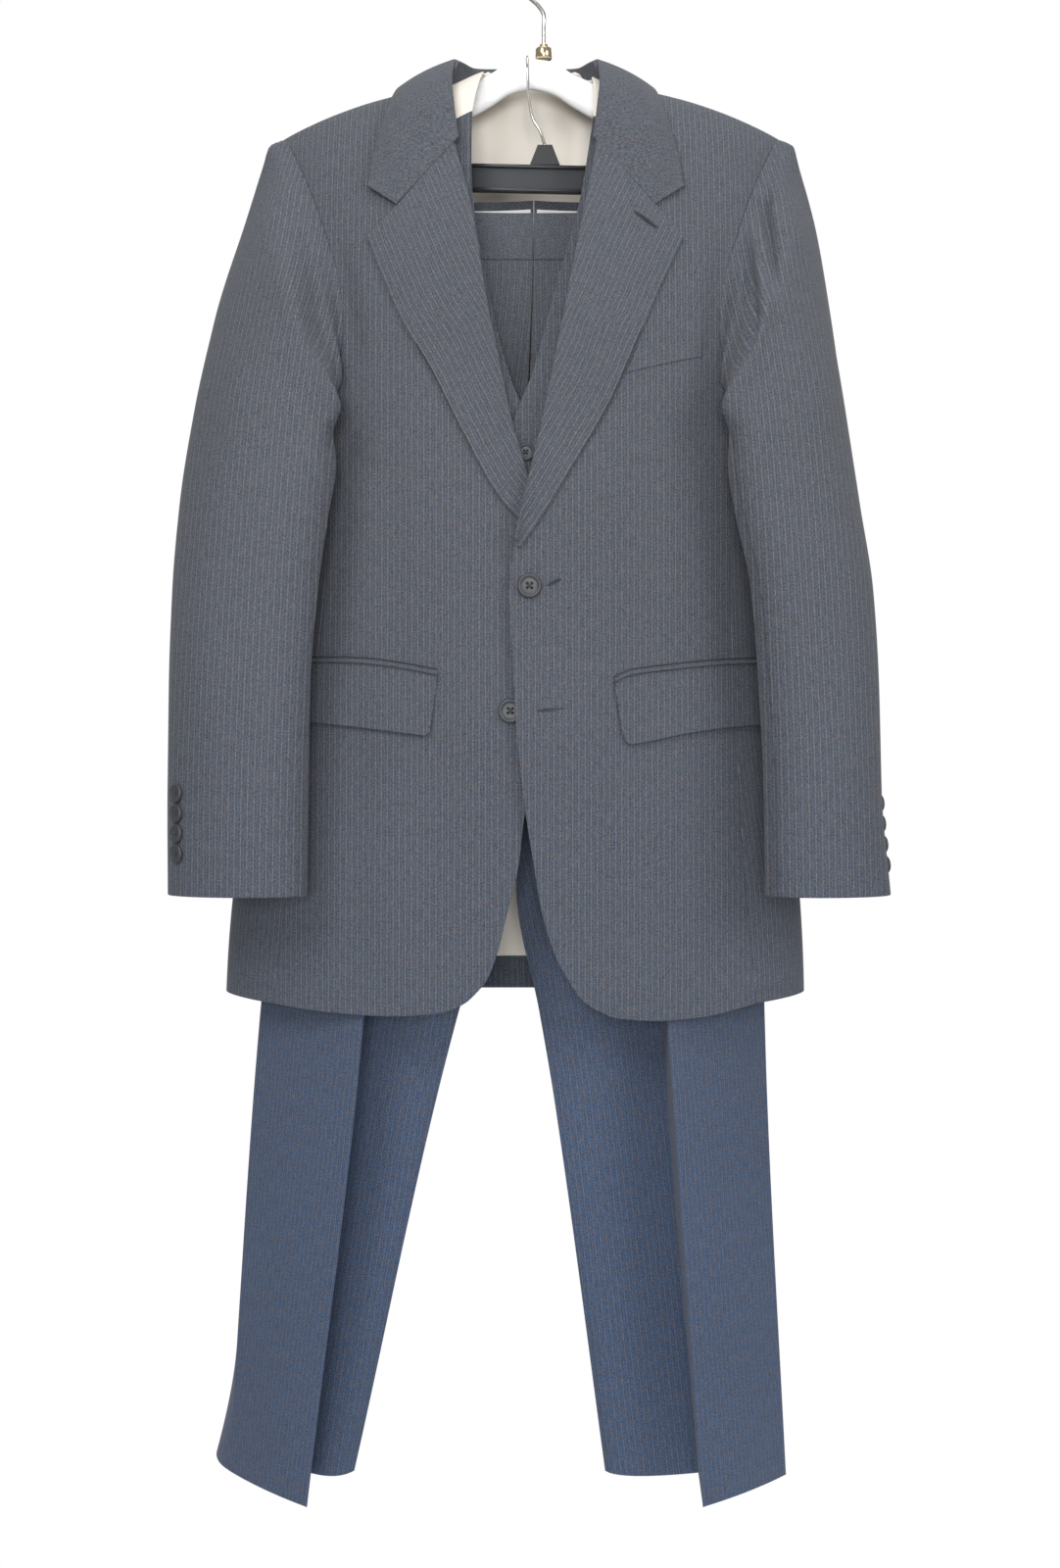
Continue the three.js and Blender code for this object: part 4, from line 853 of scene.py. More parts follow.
# Each worsted's second colour, towards the hems, is painted shade: darker, and much bluer for the
# trousers as a painted bluish light cast.
SUIT = worsted("suit worsted", "suit_cloth", 0.5, (0.073, 0.083, 0.104), (0.058, 0.074, 0.104))
SUIT_PLAIN = worsted("suit worsted, close cut", "suit_cloth", 0.2,
                     (0.078, 0.087, 0.106), (0.062, 0.075, 0.099))
COLLAR = worsted("suit worsted, on the bias", "suit_cloth", 0.0, (0.08, 0.09, 0.109))
TROUSER = worsted("trouser worsted", "trouser_cloth", 0.34,
                  (0.074, 0.084, 0.103), (0.052, 0.083, 0.151))
BAND = worsted("waistband worsted", "trouser_cloth", 0.08, (0.078, 0.088, 0.108))
SATIN = Finish("tan satin", "satin_lining", Threads,
               {"Ground": (0.8, 0.74, 0.65, 1.0), "Mottle": 0.08},
               {"Sheen Weight": 0.3, "Anisotropic": 0.4, "Specular IOR Level": 0.6}, 0.00004)
COTTON = Finish("white cotton", "waist_lining", Threads,
                {"Ground": (0.86, 0.86, 0.84, 1.0), "Mottle": 0.05},
                {"Sheen Weight": 0.1, "Specular IOR Level": 0.3}, 0.00008)
BUTTON = moulded("button horn", "button", (0.04, 0.044, 0.05), 0.5,
                 **{"Coat Weight": 0.12, "Coat Roughness": 0.3})
# Dark thread along the jets: ditch stitching, and also painted shadow in the gaps above and below
# each jet.
DITCH_THREAD_AND_PAINTED_SHADOW = moulded("pocket seam thread", "suit_cloth", (0.04, 0.045, 0.056), 0.9)
SEWING = moulded("buttonhole thread", "suit_cloth", (0.035, 0.04, 0.048), 0.8)
WHITE = moulded("white moulding", "white_plastic", (0.95, 0.95, 0.95), 0.4)
BLACK = moulded("black moulding", "black_plastic", (0.022, 0.023, 0.026), 0.4)
# The bar's web: black moulding made a lighter grey, painted light where its face catches the lamps.
PAINTED_LIGHT_BLACK = moulded("dull black moulding", "black_plastic", (0.042, 0.046, 0.052), 0.7)
CHROME = moulded("bright wire", "wire", (0.72, 0.7, 0.66), 0.16, Metallic=1.0)
BRASS = moulded("brassed wire", "wire", (0.62, 0.52, 0.34), 0.2, Metallic=1.0)


# ---- placing pieces


def add(name: str, solid: Solid, finish: Finish, replaces: Sequence[str] = ()) -> bpy.types.Object:
    """Make a piece of the suit.

    Args:
        name: the piece's name.
        solid: its shape.
        finish: its finish.
        replaces: the CAD nodes that it stands for.

    Returns:
        The new object, riding on the body.
    """
    mesh = solid.mesh(name)
    mesh.materials.append(finish.material())
    piece = bpy.data.objects.new(name, mesh)
    bpy.context.scene.collection.objects.link(piece)
    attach(piece, "root")
    if replaces:
        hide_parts(*replaces)
    LOG.info("%s: %d faces", name, len(mesh.polygons))
    return piece


@dataclass(frozen=True)
class Cut:
    """How a sheet is made up: its finish, its thickness, its rounded edge and what holds it."""

    finish: Finish
    thickness: float
    rim: float = 0.6
    held: str = "hung"
    rests_on: tuple[str, ...] = ("suit_hanger",)

    def sew(self, name: str, sheet: Sheet, *replaces: str) -> bpy.types.Object:
        """Close a sheet into a wall of cloth.

        Args:
            name: the piece's name.
            sheet: its outer face.
            replaces: the CAD nodes that it stands for.

        Returns:
            The piece.
        """
        rim = min(self.rim, 0.46 * self.thickness)
        piece = add(name, sheet.shell(self.thickness, rim), self.finish, replaces)
        width, length, area = sheet.measured()
        list(self.rests_on)
        min(area, width * length)
        return piece


# ---- the jacket's form

NECK_X = -15.2
SHOULDER_X = -10.5
RING_POWER = 2.2
GRAIN_HEIGHT = -700.0
UNDERARM = -372.0
UNDERARM_DIP = 22.0
BACK_HEM = -882.0
FRONT_TOP = (-330.0, 2.2)
BACK_TOP = (-260.0, 3.0)


def dome(share: Array) -> Array:
    """Height of a ring's rounded section at a share of its half width: (1 - u^p)^(1/p)."""
    return (1 - share**RING_POWER) ** (1 / RING_POWER)


def around(ring: SimpleNamespace, seams: Sequence[Array], side: Side, share: Array,
           z: Array) -> Array:
    """Points of a garment's side on its ring's rounded section.

    Each seam's reach becomes an angle of the section, the inverse cosine of u^(p/2); the share
    runs from one to the other, and a point is the 2/p powers of its angle's cosine and sine.

    Args:
        ring: the ring's middle, half width and depths.
        seams: how far out the front seam and the back seam are.
        side: which side.
        share: the share of the way round from the front seam to the back seam.
        z: the heights.

    Returns:
        The points.
    """
    angle = [np.arccos((reach / ring.half) ** (RING_POWER / 2)) for reach in seams]
    turn = mix(-angle[0], angle[1], share)
    x = ring.half * np.cos(turn) ** (2 / RING_POWER)
    y = np.sign(turn) * np.abs(np.sin(turn)) ** (2 / RING_POWER)
    return spread(side.out(x, ring.middle), y * np.where(turn < 0, ring.front, ring.back), z)


@dataclass(frozen=True)
class Face:
    """A garment's front or back: rounded rings below, and a roll over the shoulder's ridge
    above ``start``. Its patches are drawn in (x, w), where w is the height unrolled along the
    roll."""

    ring: Table
    column: str
    sign: float
    start: float
    power: float
    crest: Callable[[Array], Array]

    def unrolled(self, points: Array) -> Array:
        """Points (x, z) seen from the front, as points (x, w) of the drawing."""
        x, z = points[..., 0], points[..., 1]
        high = self.crest(x)
        t = np.clip((z - self.start) / (high - self.start), 0, 1)
        w = self.start + (high - self.start) * np.arcsin(t ** (self.power / 2)) * 2 / np.pi
        return spread(x, np.where(z <= self.start, z, w))

    def at(self, x: Array, w: Array) -> Array:
        """Points of the face: y is the ring's depth times (1 - u^p)^(1/p), shrinking to nothing
        at the ridge."""
        high = self.crest(x)
        turn = np.clip((w - self.start) / (high - self.start), 0, 1) * np.pi / 2
        rolled = self.start + (high - self.start) * np.sin(turn) ** (2 / self.power)
        z = np.where(w <= self.start, w, rolled)
        ring = self.ring(z)
        reach = np.minimum(0.9995, np.abs(x - ring.middle) / ring.half)
        shrink = np.maximum(0, np.cos(turn)) ** (2 / self.power)
        y = getattr(ring, self.column) * dome(reach) * shrink
        return spread(x, self.sign * y, z)

    def point(self, x: Any, z: Any) -> Array:
        """The point of the face seen at (x, z)."""
        drawn = self.unrolled(spread(np.asarray(x, float), z))
        return self.at(drawn[..., 0], drawn[..., 1])

    def normal(self, x: float, z: float) -> Array:
        """The outward normal at (x, z)."""
        step = 0.5
        dx = self.point(x + step, z) - self.point(x - step, z)
        dz = self.point(x, z + step) - self.point(x, z - step)
        return unit(np.cross(dx, dz)) * -self.sign

    def sheet(self, edges: Sequence[Curve], side: float, cell: float, margin: float = 1.6,
              part: tuple[float, float] = (0.0, 1.0)) -> Sheet:
        """Lay a grid on the face over the patch between four edges drawn in (x, z).

        Args:
            edges: the top, bottom, left and right edges.
            side: +1 where across times down points outwards, else -1.
            cell: the grid's usual spacing.
            margin: distance of the first line inside each edge.
            part: the share of the way down where it starts and where it ends.

        Returns:
            The sheet.
        """
        drawing = patch(*(lambda t, edge=edge: self.unrolled(edge(t)) for edge in edges))

        def surface(u: Array, v: Array) -> Array:
            """Points of the face at shares u and v of the patch."""
            return self.at(*np.moveaxis(drawing(u, mix(*part, v)), -1, 0))

        return Sheet.over(surface, side, cell, margin)

    def grain(self, points: Array) -> Array:
        """Threads that run straight down the face: across is the arc of a middle ring at x,
        along is the height."""
        ring = self.ring(GRAIN_HEIGHT)
        reach = np.linspace(0, 1, 400)
        depth = getattr(ring, self.column) * dome(np.minimum(reach, 0.999))
        off = points[..., 0] - ring.middle
        arc = np.interp(np.abs(off), reach * ring.half, arcs(spread(reach * ring.half, depth)))
        return spread(np.sign(off) * arc, points[..., 2])


class JacketForm:
    """The jacket's rings, ridge, side seams and armholes, shared by all its panels."""

    RINGS = Table("z middle half front back", [
        (-150, -10.5, 214, 76, 66), (-290, -10.5, 207, 84, 74), (-395, -11, 203, 87, 77),
        (-480, -12, 199, 88, 78), (-600, -16, 207, 88, 79), (-700, -20, 223, 88, 80),
        (-798, -23.3, 240.8, 88, 82), (-872, -24.2, 245, 89, 84), (-900, -24.5, 245.5, 89, 84)])
    SEAMS = Table("z front back", [
        (-372, 166, 172), (-500, 166, 170), (-700, 180, 184), (-895, 200, 204)])
    TIP = (211.0, -153.2)
    ARMHOLE_FRONT = [TIP, (199, -172), (181, -214), (167, -256), (159, -287), (154.5, -325),
                     (157, -352), (166, UNDERARM)]
    ARMHOLE_BACK = [TIP, (203, -172), (189, -214), (178, -256), (171, -287), (166, -325),
                    (167, -352), (172, UNDERARM)]
    HEM = {"front": -880.0, "back": -882.0}

    @staticmethod
    def ridge(x: Array) -> Array:
        """Height of the shoulder's ridge: two slopes and a droop towards the tip."""
        out = np.abs(x - SHOULDER_X) - 105
        return -115 - np.where(out > 0, 0.2, 0.3) * out - 0.00144 * np.maximum(0, out) ** 2

    @cached_property
    def front(self) -> Face:
        """The jacket's front face."""
        return Face(self.RINGS, "front", -1, *FRONT_TOP, self.ridge)

    @cached_property
    def back(self) -> Face:
        """The jacket's back face."""
        return Face(self.RINGS, "back", 1, *BACK_TOP, self.ridge)

    def side(self, side: Side, share: Array, z: Array) -> Array:
        """Points of the jacket's side, a share of the way round from the front seam."""
        seam = self.SEAMS(z)
        return around(self.RINGS(z), (seam.front, seam.back), side, share, z)

    def outer(self, side: Side, which: str) -> Line:
        """A front's or back's outer edge: down the armhole and then down the side seam."""
        points = self.ARMHOLE_FRONT if which == "front" else self.ARMHOLE_BACK
        arm = [(side.out(reach, SHOULDER_X), z) for reach, z in points]
        z = mix(UNDERARM, self.HEM[which], np.arange(1, 13) / 12)
        return Line([*arm, *zip(side.out(getattr(self.SEAMS(z), which), self.RINGS(z).middle), z)])

    def armhole(self, side: Side, ease: tuple[float, float], sink: float) -> Line:
        """The armhole as a closed line from the shoulder over the front to the underarm.

        Args:
            side: which armhole.
            ease: how far outside the panels' edge it lies, at the top and at the bottom.
            sink: how far inside the cloth it lies.
        """
        def edge(points: Sequence[tuple[float, float]], face: Face) -> Array:
            """One face's part of the armhole, from the top down."""
            reach, z = np.array(points, float).T
            reach = reach + np.linspace(ease[0], ease[1], len(points))
            return face.point(side.out(reach, SHOULDER_X), z) - [0, face.sign * sink, 0]

        share = np.array([0.2, 0.4, 0.6, 0.8])
        dip = self.side(side, share, UNDERARM - UNDERARM_DIP * np.sin(np.pi * share))
        dip = dip + [side.value * (ease[1] - 1.0 - sink), 0, 1.8]
        front = edge(self.ARMHOLE_FRONT, self.front)
        back = edge(self.ARMHOLE_BACK[1:], self.back)[::-1]
        return Line(np.vstack([front, dip, back]), Ends.CLOSED)


FORM = JacketForm()
LAP = 7.8


def lap_at(side: Side, x: Array, w: Array) -> Array:
    """How far a front stands out where the right one laps the left."""
    return (side is Side.RIGHT) * LAP * (1 - smooth(10, 95, x)) * smooth(-390, -470, w)


# ---- the jacket


@dataclass
class JacketBody:
    """The jacket's fronts, sides, backs and back lining."""

    cloth: Cut = Cut(SUIT, 2.0)
    lining: Cut = Cut(SATIN, 1.0, 0.4)
    front_edge: dict[Side, Outline] = both(
        [(-80, -112), (-77.5, -140), (-72.5, -177), (-58.5, -236), (-47.5, -306), (-30, -398),
         (-12, -455), (1, -540), (1, -606), (-5, -668), (-16.4, -729), (-21, -767), (-30, -804),
         (-37, -833)],
        [(50, -112), (46, -148), (41, -184), (31, -245), (19, -306), (7, -369), (-7, -438),
         (-17.5, -484), (-24.5, -508), (-28.5, -543), (-27.4, -574), (-24.7, -621), (-21.9, -669),
         (-16.4, -716), (-8.6, -767), (-3.8, -796), (2.4, -821), (9.5, -841)])
    hem_edge: dict[Side, Outline] = both(
        [(-37, -833), (-45.5, -855.7), (-56, -869), (-67, -878), (-85, -884.5), (-125, -887.5),
         (-181, -885), (-224, -880)],
        [(9.5, -841), (20.5, -860), (31, -874), (47, -884), (62, -889), (96, -891.5),
         (137, -888.5), (175.5, -880)])
    folds: dict[Side, list[Fold]] = both(
        [Fold((-172, -250), (-150, -360), 9, -2.2), Fold((-150, -260), (-138, -400), 12, 1.4),
         Fold((-125, -420), (-118, -640), 16, -1.4), Fold((-92, -380), (-100, -600), 2.4, -0.5),
         Fold((-60, -480), (-52, -860), 26, 1.6), Fold((-110, -660), (-120, -880), 20, 1.5),
         Fold((-150, -600), (-160, -880), 14, -1.6), Fold((-28, -560), (-26, -800), 12, -0.8)],
        [Fold((150, -250), (132, -370), 9, -2.0), Fold((128, -250), (118, -400), 12, 1.4),
         Fold((98, -380), (84, -600), 2.4, -0.5), Fold((110, -420), (116, -640), 16, -1.4),
         Fold((28, -500), (36, -860), 26, 1.4), Fold((80, -670), (92, -890), 20, 1.5),
         Fold((130, -620), (142, -880), 14, -1.6), Fold((56, -640), (60, -880), 12, -1.0)])

    def front(self, side: Side) -> None:
        """A front: from the shoulder to the rounded hem, between the roll line and front edge
        and the armhole and side seam."""
        inner, hem = Line(self.front_edge[side]), Line(self.hem_edge[side])
        neck, tip = inner(0.0), side.out(FORM.TIP[0], SHOULDER_X)

        def shoulder(t: Array) -> Array:
            """The shoulder seam, just below the ridge."""
            x = mix(neck[0], tip, np.asarray(t, float))
            high = FORM.ridge(x)
            opened = mix(neck[1], high, np.clip(t * 8, 0, 1))
            return spread(x, np.minimum(high, opened))

        edges = shoulder, hem, inner, FORM.outer(side, "front")
        sheet = FORM.front.sheet(edges, -side.value, 3.6)
        x, z = sheet.points[..., 0], sheet.points[..., 2]
        sheet = sheet.raised(relief(self.folds[side], x, z) * smooth(-150, -230, z)
                             + lap_at(side, x, z))
        sheet.grain = FORM.front.grain(sheet.points)
        self.cloth.sew(f"front_{side.word}", sheet, f"jacket_front_{side.word}")

    def side_panel(self, side: Side) -> None:
        """The panel under the arm."""

        def surface(u: Array, v: Array) -> Array:
            """Points from the armhole's dip to the hem."""
            top = UNDERARM - 3 - UNDERARM_DIP * np.sin(np.pi * u)
            hem = mix(FORM.HEM["front"], FORM.HEM["back"], u) + 6 * np.sin(np.pi * u)
            return FORM.side(side, u, mix(top, hem, v))

        sheet = Sheet.over(surface, -side.value, 4.5).cut_along(0.5)
        self.cloth.sew(f"side_{side.word}", sheet, f"jacket_side_{side.word}")

    def back(self, side: Side) -> None:
        """Half of the back, sewn down its middle."""
        neck = [(side.out(reach, NECK_X), z)
                for reach, z in ((0, -114), (30, -113), (58, -110.5), (74, -108.5))]
        ridge = side.out(np.array([100, 135, 170, FORM.TIP[0]]), SHOULDER_X)
        top = Line([*neck, *zip(ridge, FORM.ridge(ridge))])
        middle = Line([neck[0], (NECK_X, -400), (float(FORM.RINGS(BACK_HEM).middle), BACK_HEM)])
        outer = FORM.outer(side, "back")
        hem = straight(middle(1.0), (outer(1.0)[0], BACK_HEM))
        sheet = FORM.back.sheet((top, hem, middle, outer), side.value, 4.8)
        off, z = (sheet.points[..., 0] - NECK_X) * side.value, sheet.points[..., 2]
        folds = [Fold((150, -260), (120, -420), 12, -2.0), Fold((60, -500), (70, -860), 26, 2.4),
                 Fold((118, -560), (128, -880), 20, -2.4), Fold((25, -160), (40, -300), 14, -1.0),
                 Fold((2, -420), (2, -640), 10, -1.4)]
        sheet = sheet.raised(relief(folds, off, z))
        sheet.grain = FORM.back.grain(sheet.points)
        self.cloth.sew(f"back_{side.word}", sheet, f"jacket_back_{side.word}")

    @staticmethod
    def inside_back(reach: float, top: float, bottom: float, cell: float) -> Sheet:
        """A sheet on the back's form, so wide to each side, from one height to another.

        Args:
            reach: how far out it goes.
            top: where it starts.
            bottom: where it ends.
            cell: the grid's spacing.

        Returns:
            The sheet.
        """

        def surface(u: Array, v: Array) -> Array:
            """Points on the back at shares u and v."""
            z = mix(top, bottom, v)
            return FORM.back.point(mix(-reach, reach, u) + FORM.RINGS(z).middle, z)

        return Sheet.over(surface, 1, cell)

    def back_lining(self) -> None:
        """The lining of the back, hung inside the cloth, with a box pleat's shadow down it."""
        sheet = self.inside_back(150, -176.0, -853.0, 5.6)
        x, z = sheet.points[..., 0] - NECK_X, sheet.points[..., 2]
        folds = [Fold((0, -200), (0, -860), 5, 1.0), Fold((46, -500), (52, -860), 14, 1.2),
                 Fold((-52, -520), (-40, -860), 14, 1.2), Fold((20, -700), (26, -860), 8, -1.0)]
        sheet = sheet.raised(relief(folds, x, z) - 4.4).cut_along(0.5)
        self.lining.sew("back_lining", sheet, "jacket_back_lining")

    def hem_band(self) -> None:
        """The back's hem, turned up inside it."""
        sheet = self.inside_back(190, -850.0, BACK_HEM + 1, 4.5).raised(-2.1)
        sheet.grain = FORM.back.grain(sheet.points)
        Cut(SUIT, 1.6, 0.7, "stretched").sew("hem_band", sheet)

    def shoulder_tape(self, side: Side) -> None:
        """A tape of the suit's cloth inside a shoulder seam."""

        def surface(u: Array, v: Array) -> Array:
            """Points of a shallow roof just under the ridge."""
            reach, y = mix(72.0, 205.0, u), mix(-6.0, 6.0, v)
            return spread(side.out(reach, SHOULDER_X), y, FORM.ridge(reach) - 2.6 - 0.03 * y**2)

        sheet = Sheet.over(surface, side.value, 3.0).cut_along(0.5)
        Cut(SUIT_PLAIN, 0.8, 0.3, "stretched").sew(f"shoulder_tape_{side.word}", sheet)

    def build(self) -> None:
        """Make every panel of the body."""
        for side in Side:
            self.front(side)
            self.side_panel(side)
            self.back(side)
            self.shoulder_tape(side)
        self.back_lining()
        self.hem_band()


@dataclass
class Sleeve:
    """One sleeve, from the armhole to the cuff.

    Each ring passes through an outer and an inner point, given by height, reach and y. Its
    front half stands ``front`` out from the line between them and its back half ``back``, each
    in a direction turned from the y axis; ``hold`` is how much of the armhole's shape it keeps.
    """

    side: Side
    cloth: Cut = Cut(SUIT, 2.0, 0.8)
    columns: str = ("row outerZ outerLeft outerRight outerY innerZ innerLeft innerRight innerY "
                    "front turn back backTurn hold")
    rings: Rows = (
        (0, -152.6, 211, 211, 0, -394, 203, 203, -4, 56, -6, 56, -6, 1),
        (1, -158, 221, 221, -2, -402, 213, 213, -16, 56, -6, 56, -16, 0.85),
        (2, -180, 228, 227, -5, -411, 203, 203, -46, 56, -6, 54, -26, 0.6),
        (3, -228, 241, 238, -14, -417, 179, 179, -76, 54, -6, 50, -32, 0.3),
        (4, -306, 263, 249, -26, -424, 159, 159, -88, 51, 0, 46, -30, 0.15),
        (5, -391, 278, 258.5, -38, -448, 156, 157, -97, 47, 8, 42, -22, 0),
        (6, -470, 287, 267, -48, -488, 162, 163, -101, 44, 16, 40, -10, 0),
        (7, -545, 291, 276, -56, -545, 170, 175, -104, 42, 20, 38, 4, 0),
        (8, -622, 292, 279, -62, -622, 177, 182, -107, 41, 22, 37, 14, 0),
        (9, -705, 292, 280, -68, -705, 179, 187, -110, 40, 22, 37, 20, 0),
        (10, -789, 291, 287, -74, -789, 180, 188, -113, 38, 22, 36, 22, 0))
    seams: dict[Side, dict[str, tuple[float, float]]] = both(
        {"back": (-0.12, 0.1), "front": (0.44, 0.5)},
        {"back": (-0.12, -0.045), "front": (0.44, 0.46)})
    folds: dict[Side, list[Fold]] = both(
        [Fold((0.30, 0.8), (0.34, 4.2), 0.035, -2.2, 0.08),
         Fold((0.24, 1.4), (0.22, 6.5), 0.05, 1.8, 0.08),
         Fold((0.12, 2.0), (0.14, 7.5), 0.05, -1.5, 0.08),
         Fold((0.40, 3.6), (0.30, 5.6), 0.03, -1.6, 0.08),
         Fold((0.20, 6.5), (0.28, 9.8), 0.05, 1.3, 0.08)],
        [Fold((0.13, 0.4), (0.225, 2.8), 0.022, -8.0, 0.08),
         Fold((0.175, 0.4), (0.27, 3.0), 0.026, 6.0, 0.08),
         Fold((0.22, 0.5), (0.33, 2.8), 0.022, -6.0, 0.08),
         Fold((0.09, 1.0), (0.15, 3.0), 0.04, 2.5, 0.08),
         Fold((0.18, 3.0), (0.2, 8.0), 0.05, 1.5, 0.08),
         Fold((0.33, 4.0), (0.30, 8.8), 0.05, -1.5, 0.08)])
    lean: Table = Table("z out",
                        [(-140, 0), (-250, 6), (-400, 24), (-550, 34), (-700, 39), (-800, 40)])
    tuck: float = 0.06
    over: tuple[float, float] = (26.0, 11.0)
    toward: tuple[float, float] = (0.42, 0.09)
    forward: tuple[float, float] = (0.36, 0.11)

    @cached_property
    def table(self) -> Table:
        """The sleeve's rings, by row."""
        return Table(self.columns, self.rings)

    @cached_property
    def loops(self) -> tuple[Line, Line]:
        """The sleeve's head just outside the armhole, and its allowance tucked inside it."""
        return FORM.armhole(self.side, (1.0, 3.6), 0), FORM.armhole(self.side, (-5.0, -3.0), 4.0)

    def oval(self, share: Array, row: Any) -> Array:
        """A ring's own point, a share of the way round: a cosine from the outer to the inner
        point, plus a sine times the half's depth in its turned direction."""
        ring = self.table(row)
        outer, inner = (getattr(ring, name + self.side.name.title()) for name in ("outer", "inner"))
        c, s = np.cos(2 * np.pi * share), np.sin(2 * np.pi * share)
        turn = np.radians(np.where(s > 0, ring.turn, ring.backTurn))
        deep = np.where(s > 0, ring.front, ring.back)
        reach = mix(inner, outer, (1 + c) / 2) + s * deep * np.sin(turn)
        y = mix(ring.innerY, ring.outerY, (1 + c) / 2) - s * deep * np.cos(turn)
        z = mix(ring.innerZ, ring.outerZ, (1 + c) / 2)
        return spread(self.side.out(reach, SHOULDER_X), y, z)

    def skin(self, share: Array, row: Array) -> Array:
        """Points of the sleeve; below row 0 they run into the armhole, and just past it the
        front hangs over the seam."""
        head, inside = self.loops
        own = head(share) - self.oval(share, 0.0)
        below = np.maximum(row, 0)
        outer = self.oval(share, below) + own * self.table(below).hold[..., None]
        tucked = smooth(0, -self.tuck * 10, row)[..., None]
        lean = smooth(0, 0.7, row) * smooth(4.2, 2.6, row)
        toward, forward = (lean * most * np.exp(-((share - middle) / width) ** 2)
                           for most, (middle, width) in zip(self.over, (self.toward, self.forward)))
        outer = outer - spread(toward * self.side.value, forward, 0.0)
        return mix(outer, inside(share), tucked)

    def panel(self, name: str) -> None:
        """The top or the under half of the sleeve, between its two seams."""
        back, front = (self.seams[self.side][seam] for seam in ("back", "front"))
        first, last, turns = (back, front, 0) if name == "top" else (front, back, 1)

        def place(u: Array, v: Array) -> tuple[Array, Array]:
            """The share round and the row at shares u and v of the panel."""
            down = mix(-self.tuck, 1.0, v)
            way = np.maximum(down, 0)
            start, end = mix(*first, way), mix(*last, way) + turns
            return mix(start, end, u), 10 * down

        def surface(u: Array, v: Array) -> Array:
            """Points of the panel with its folds."""
            return self.skin(*place(u, v))

        even = Sheet.over(surface, self.side.value, 4.4)
        share, row = place(even.u, even.v)
        sheet = even.raised(relief(self.folds[self.side], share, row) * smooth(0.06, 0.5, row))
        sheet.grain = self.grain(even.points, share)
        word = f"sleeve_{name}_{self.side.word}"
        self.cloth.sew(word, sheet, "jacket_" + word)

    def grain(self, points: Array, share: Array) -> Array:
        """Threads that hang down the sleeve: across is the reach less the sleeve's lean, and
        round the outer edge it goes on by the level arc."""
        reach = (points[..., 0] - SHOULDER_X) * self.side.value - self.lean(points[..., 2]).out
        if share.max() > 0.6:
            return spread(-reach * self.side.value, points[..., 2])
        arc = arcs(points[..., :2], 1)
        edge = np.argmax(share >= 0.1, axis=1)[:, None]
        start, run = (np.take_along_axis(q, edge, axis=1) for q in (reach, arc))
        across = np.where(share < 0.1, start + run - arc, reach)
        return spread(across * self.side.value, points[..., 2])

    def build(self) -> None:
        """Make both halves of the sleeve."""
        self.panel("top")
        self.panel("under")


@dataclass
class Collar:
    """The jacket's collar: its fall, folded over at the neck, and the stand inside it."""

    fall: Cut = Cut(COLLAR, 2.2, 1.1, "folded", ("front_left", "front_right"))
    stand: Cut = Cut(COLLAR, 2.0, 0.8, "stretched", ("back_left", "back_right"))
    rows: Table = Table("way fold foldY foldZ mid midY midZ edge edgeY edgeZ", [
        (0, 57, -67, -174, 105.5, -69.5, -228, 130.5, -63, -210.5),
        (0.14, 61, -55, -144, 100, -60.5, -168, 126, -56, -184),
        (0.28, 63.5, -34, -112, 94, -47, -132, 118, -46, -150),
        (0.45, 61.5, 6, -81.5, 84, -2, -95, 106, -4, -109.8),
        (0.57, 56, 25, -78, 79, 24, -94, 100, 21, -112),
        (0.7, 46, 42, -76.5, 66, 47, -94, 84, 46, -118),
        (1, 0, 56, -74, 0, 62, -95, 0, 61, -123)])
    neck: Table = Table("way reach y z", [
        (0.36, 63, -12, -101.5), (0.45, 67, 4, -102.5), (0.7, 50, 34, -109.5), (1, 0, 43, -112.5)])

    def fall_surface(self, u: Array, v: Array) -> Array:
        """Points of the fall: a parabola through the fold, the middle and the edge, which
        becomes two straight lines at the front ends."""
        row, sign = self.rows(1 - np.abs(2 * u - 1)), np.where(u < 0.5, -1, 1)
        end = smooth(0.16, 0.02, 1 - np.abs(2 * u - 1))
        a = mix((1 - v) * (1 - 2 * v), np.maximum(0, 1 - 2 * v), end)
        c = mix(v * (2 * v - 1), np.maximum(0, 2 * v - 1), end)
        b = 1 - a - c
        reach, y, z = (a * getattr(row, "fold" + part) + b * getattr(row, "mid" + part)
                       + c * getattr(row, "edge" + part) for part in ("", "Y", "Z"))
        return spread(NECK_X + sign * reach, y, z)

    def stand_surface(self, u: Array, v: Array) -> Array:
        """Points of the stand, straight from inside the fold to the neck seam."""
        sign, way = np.where(u < 0.5, -1, 1), mix(0.36, 1.0, 1 - np.abs(2 * u - 1))
        fold, seam = self.rows(way), self.neck(way)
        shrink = 1 - 3.0 / np.hypot(fold.fold, fold.foldY)
        return spread(NECK_X + sign * mix(fold.fold * shrink, seam.reach, v),
                      mix(fold.foldY * shrink, seam.y, v), mix(fold.foldZ - 1, seam.z, v))

    def build(self) -> None:
        """Make the fall and the stand."""
        fall = Sheet.over(self.fall_surface, 1, 3.0, rows=(0.5,)).turned_under(3.0, 1.5)
        self.fall.sew("collar_fall", fall.cut_along(0.5), "jacket_collar_fall")
        stand = Sheet.over(self.stand_surface, 1, 3.0)
        self.stand.sew("collar_stand", stand.cut_along(0.5), "jacket_collar_stand")


